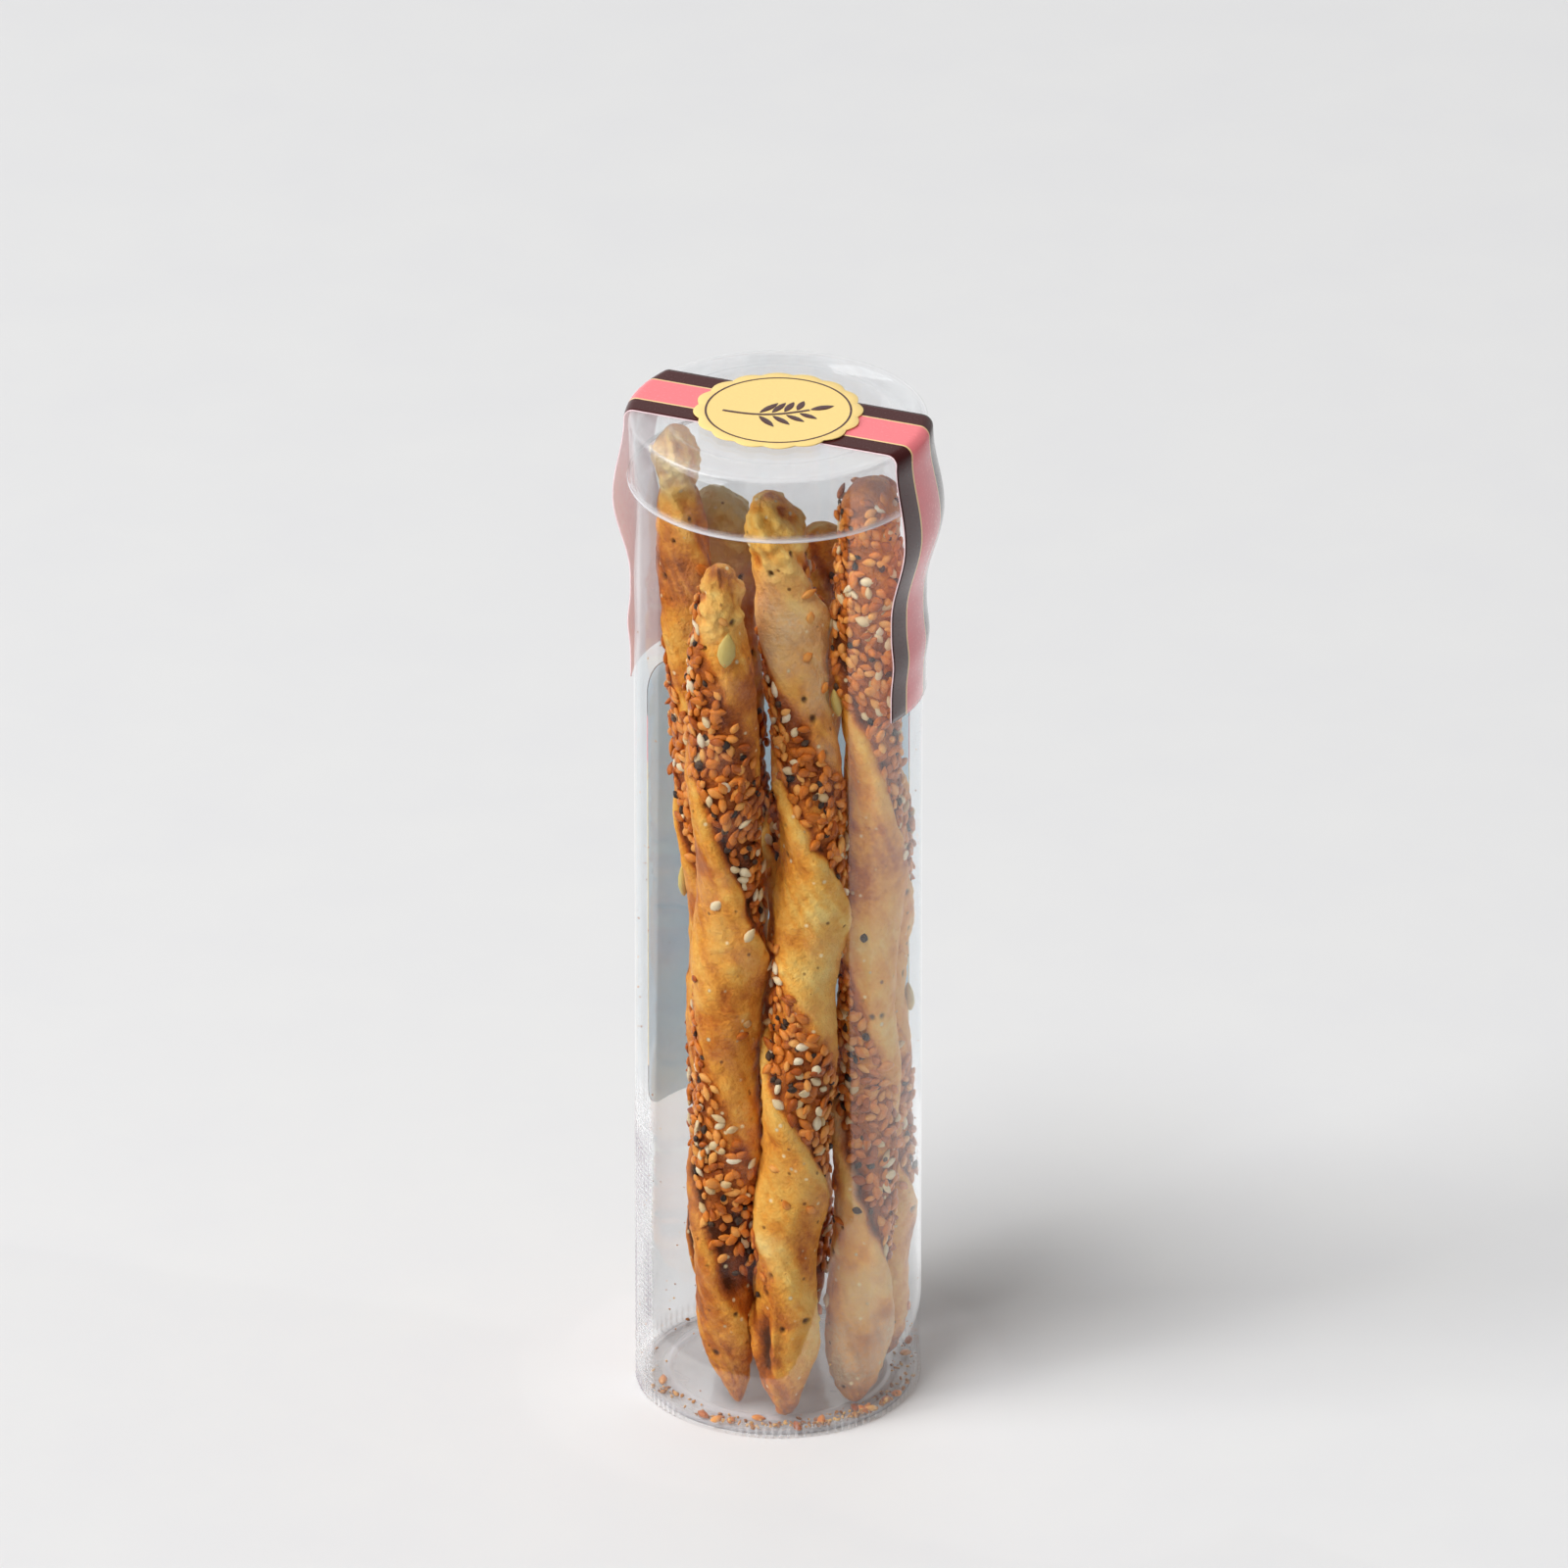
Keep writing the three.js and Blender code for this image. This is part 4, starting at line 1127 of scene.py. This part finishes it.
def lamp(name, place, aim, size, power):
    """A soft square lamp at a place in metres, turned to aim at a point."""
    light = bpy.data.lights.new(name, "AREA")
    light.shape = "SQUARE"
    light.size = size
    light.energy = power
    made = bpy.data.objects.new(name, light)
    made.location = place
    away = np.array(place) - np.array(aim)
    flat = math.hypot(away[0], away[1])
    made.rotation_euler = (math.atan2(flat, away[2]), 0, math.atan2(away[0], -away[1]))
    bpy.context.scene.collection.objects.link(made)
    return made


ground(plain_finish("pale_floor", seen(227, 227, 227), seen(225, 225, 226), 40, 0.7, 0.00002))
curved_card("dark_front_card", (46.0, 3000.0), 0.4, 0.4, -109, 56, glow_finish("dark_card", 0.0), 52.0)
curved_card("bright_right_card", (40.0, 40.0), 0.5, 128.0, 56, 172, glow_finish("bright_card", 1.05))
curved_card("bright_left_card", (40.0, 40.0), 0.5, 190.0, -172, -109, glow_finish("soft_card", 1.1))
curved_card("back_card", (3000.0, 3000.0), 20.0, 2600.0, 125, 235, glow_finish("back_card", 1.0))
curved_card("key_card", (1300.0, 1300.0), 1000.0, 1700.0, -112, -48, glow_finish("key_card", 4.5))
for name, place, aim, size, power in (
        ("top_lamp", (-1.41, -1.5, 4.95), (0, 0, 0.05), 1.9, 184.0),
        ("side_lamp", (-4.6, -1.5, 2.2), (0, 0, 0.1), 2.5, 185.0)):
    lamp(name, place, aim, size, power).visible_glossy = False

scene = bpy.context.scene
scene.view_settings.view_transform = "Standard"
world = bpy.data.worlds.new("studio")
world.use_nodes = True
world.node_tree.nodes["Background"].inputs[0].default_value = (1, 1, 1, 1)
world.node_tree.nodes["Background"].inputs[1].default_value = 0.25
scene.world = world

CAMERA_TARGET = (0.00098, 0.0, 0.11622)
CAMERA_DISTANCE = 4.0
CAMERA_ELEVATION = math.radians(27.22)
SENSOR = 36.0
LENS = 528.0
lens = bpy.data.cameras.new("camera")
lens.sensor_width = SENSOR
lens.lens = LENS
camera = bpy.data.objects.new("camera", lens)
camera.location = (
    CAMERA_TARGET[0],
    CAMERA_TARGET[1] - CAMERA_DISTANCE * math.cos(CAMERA_ELEVATION),
    CAMERA_TARGET[2] + CAMERA_DISTANCE * math.sin(CAMERA_ELEVATION))
camera.rotation_euler = (math.pi / 2 - CAMERA_ELEVATION, 0, 0)
scene.collection.objects.link(camera)
scene.camera = camera
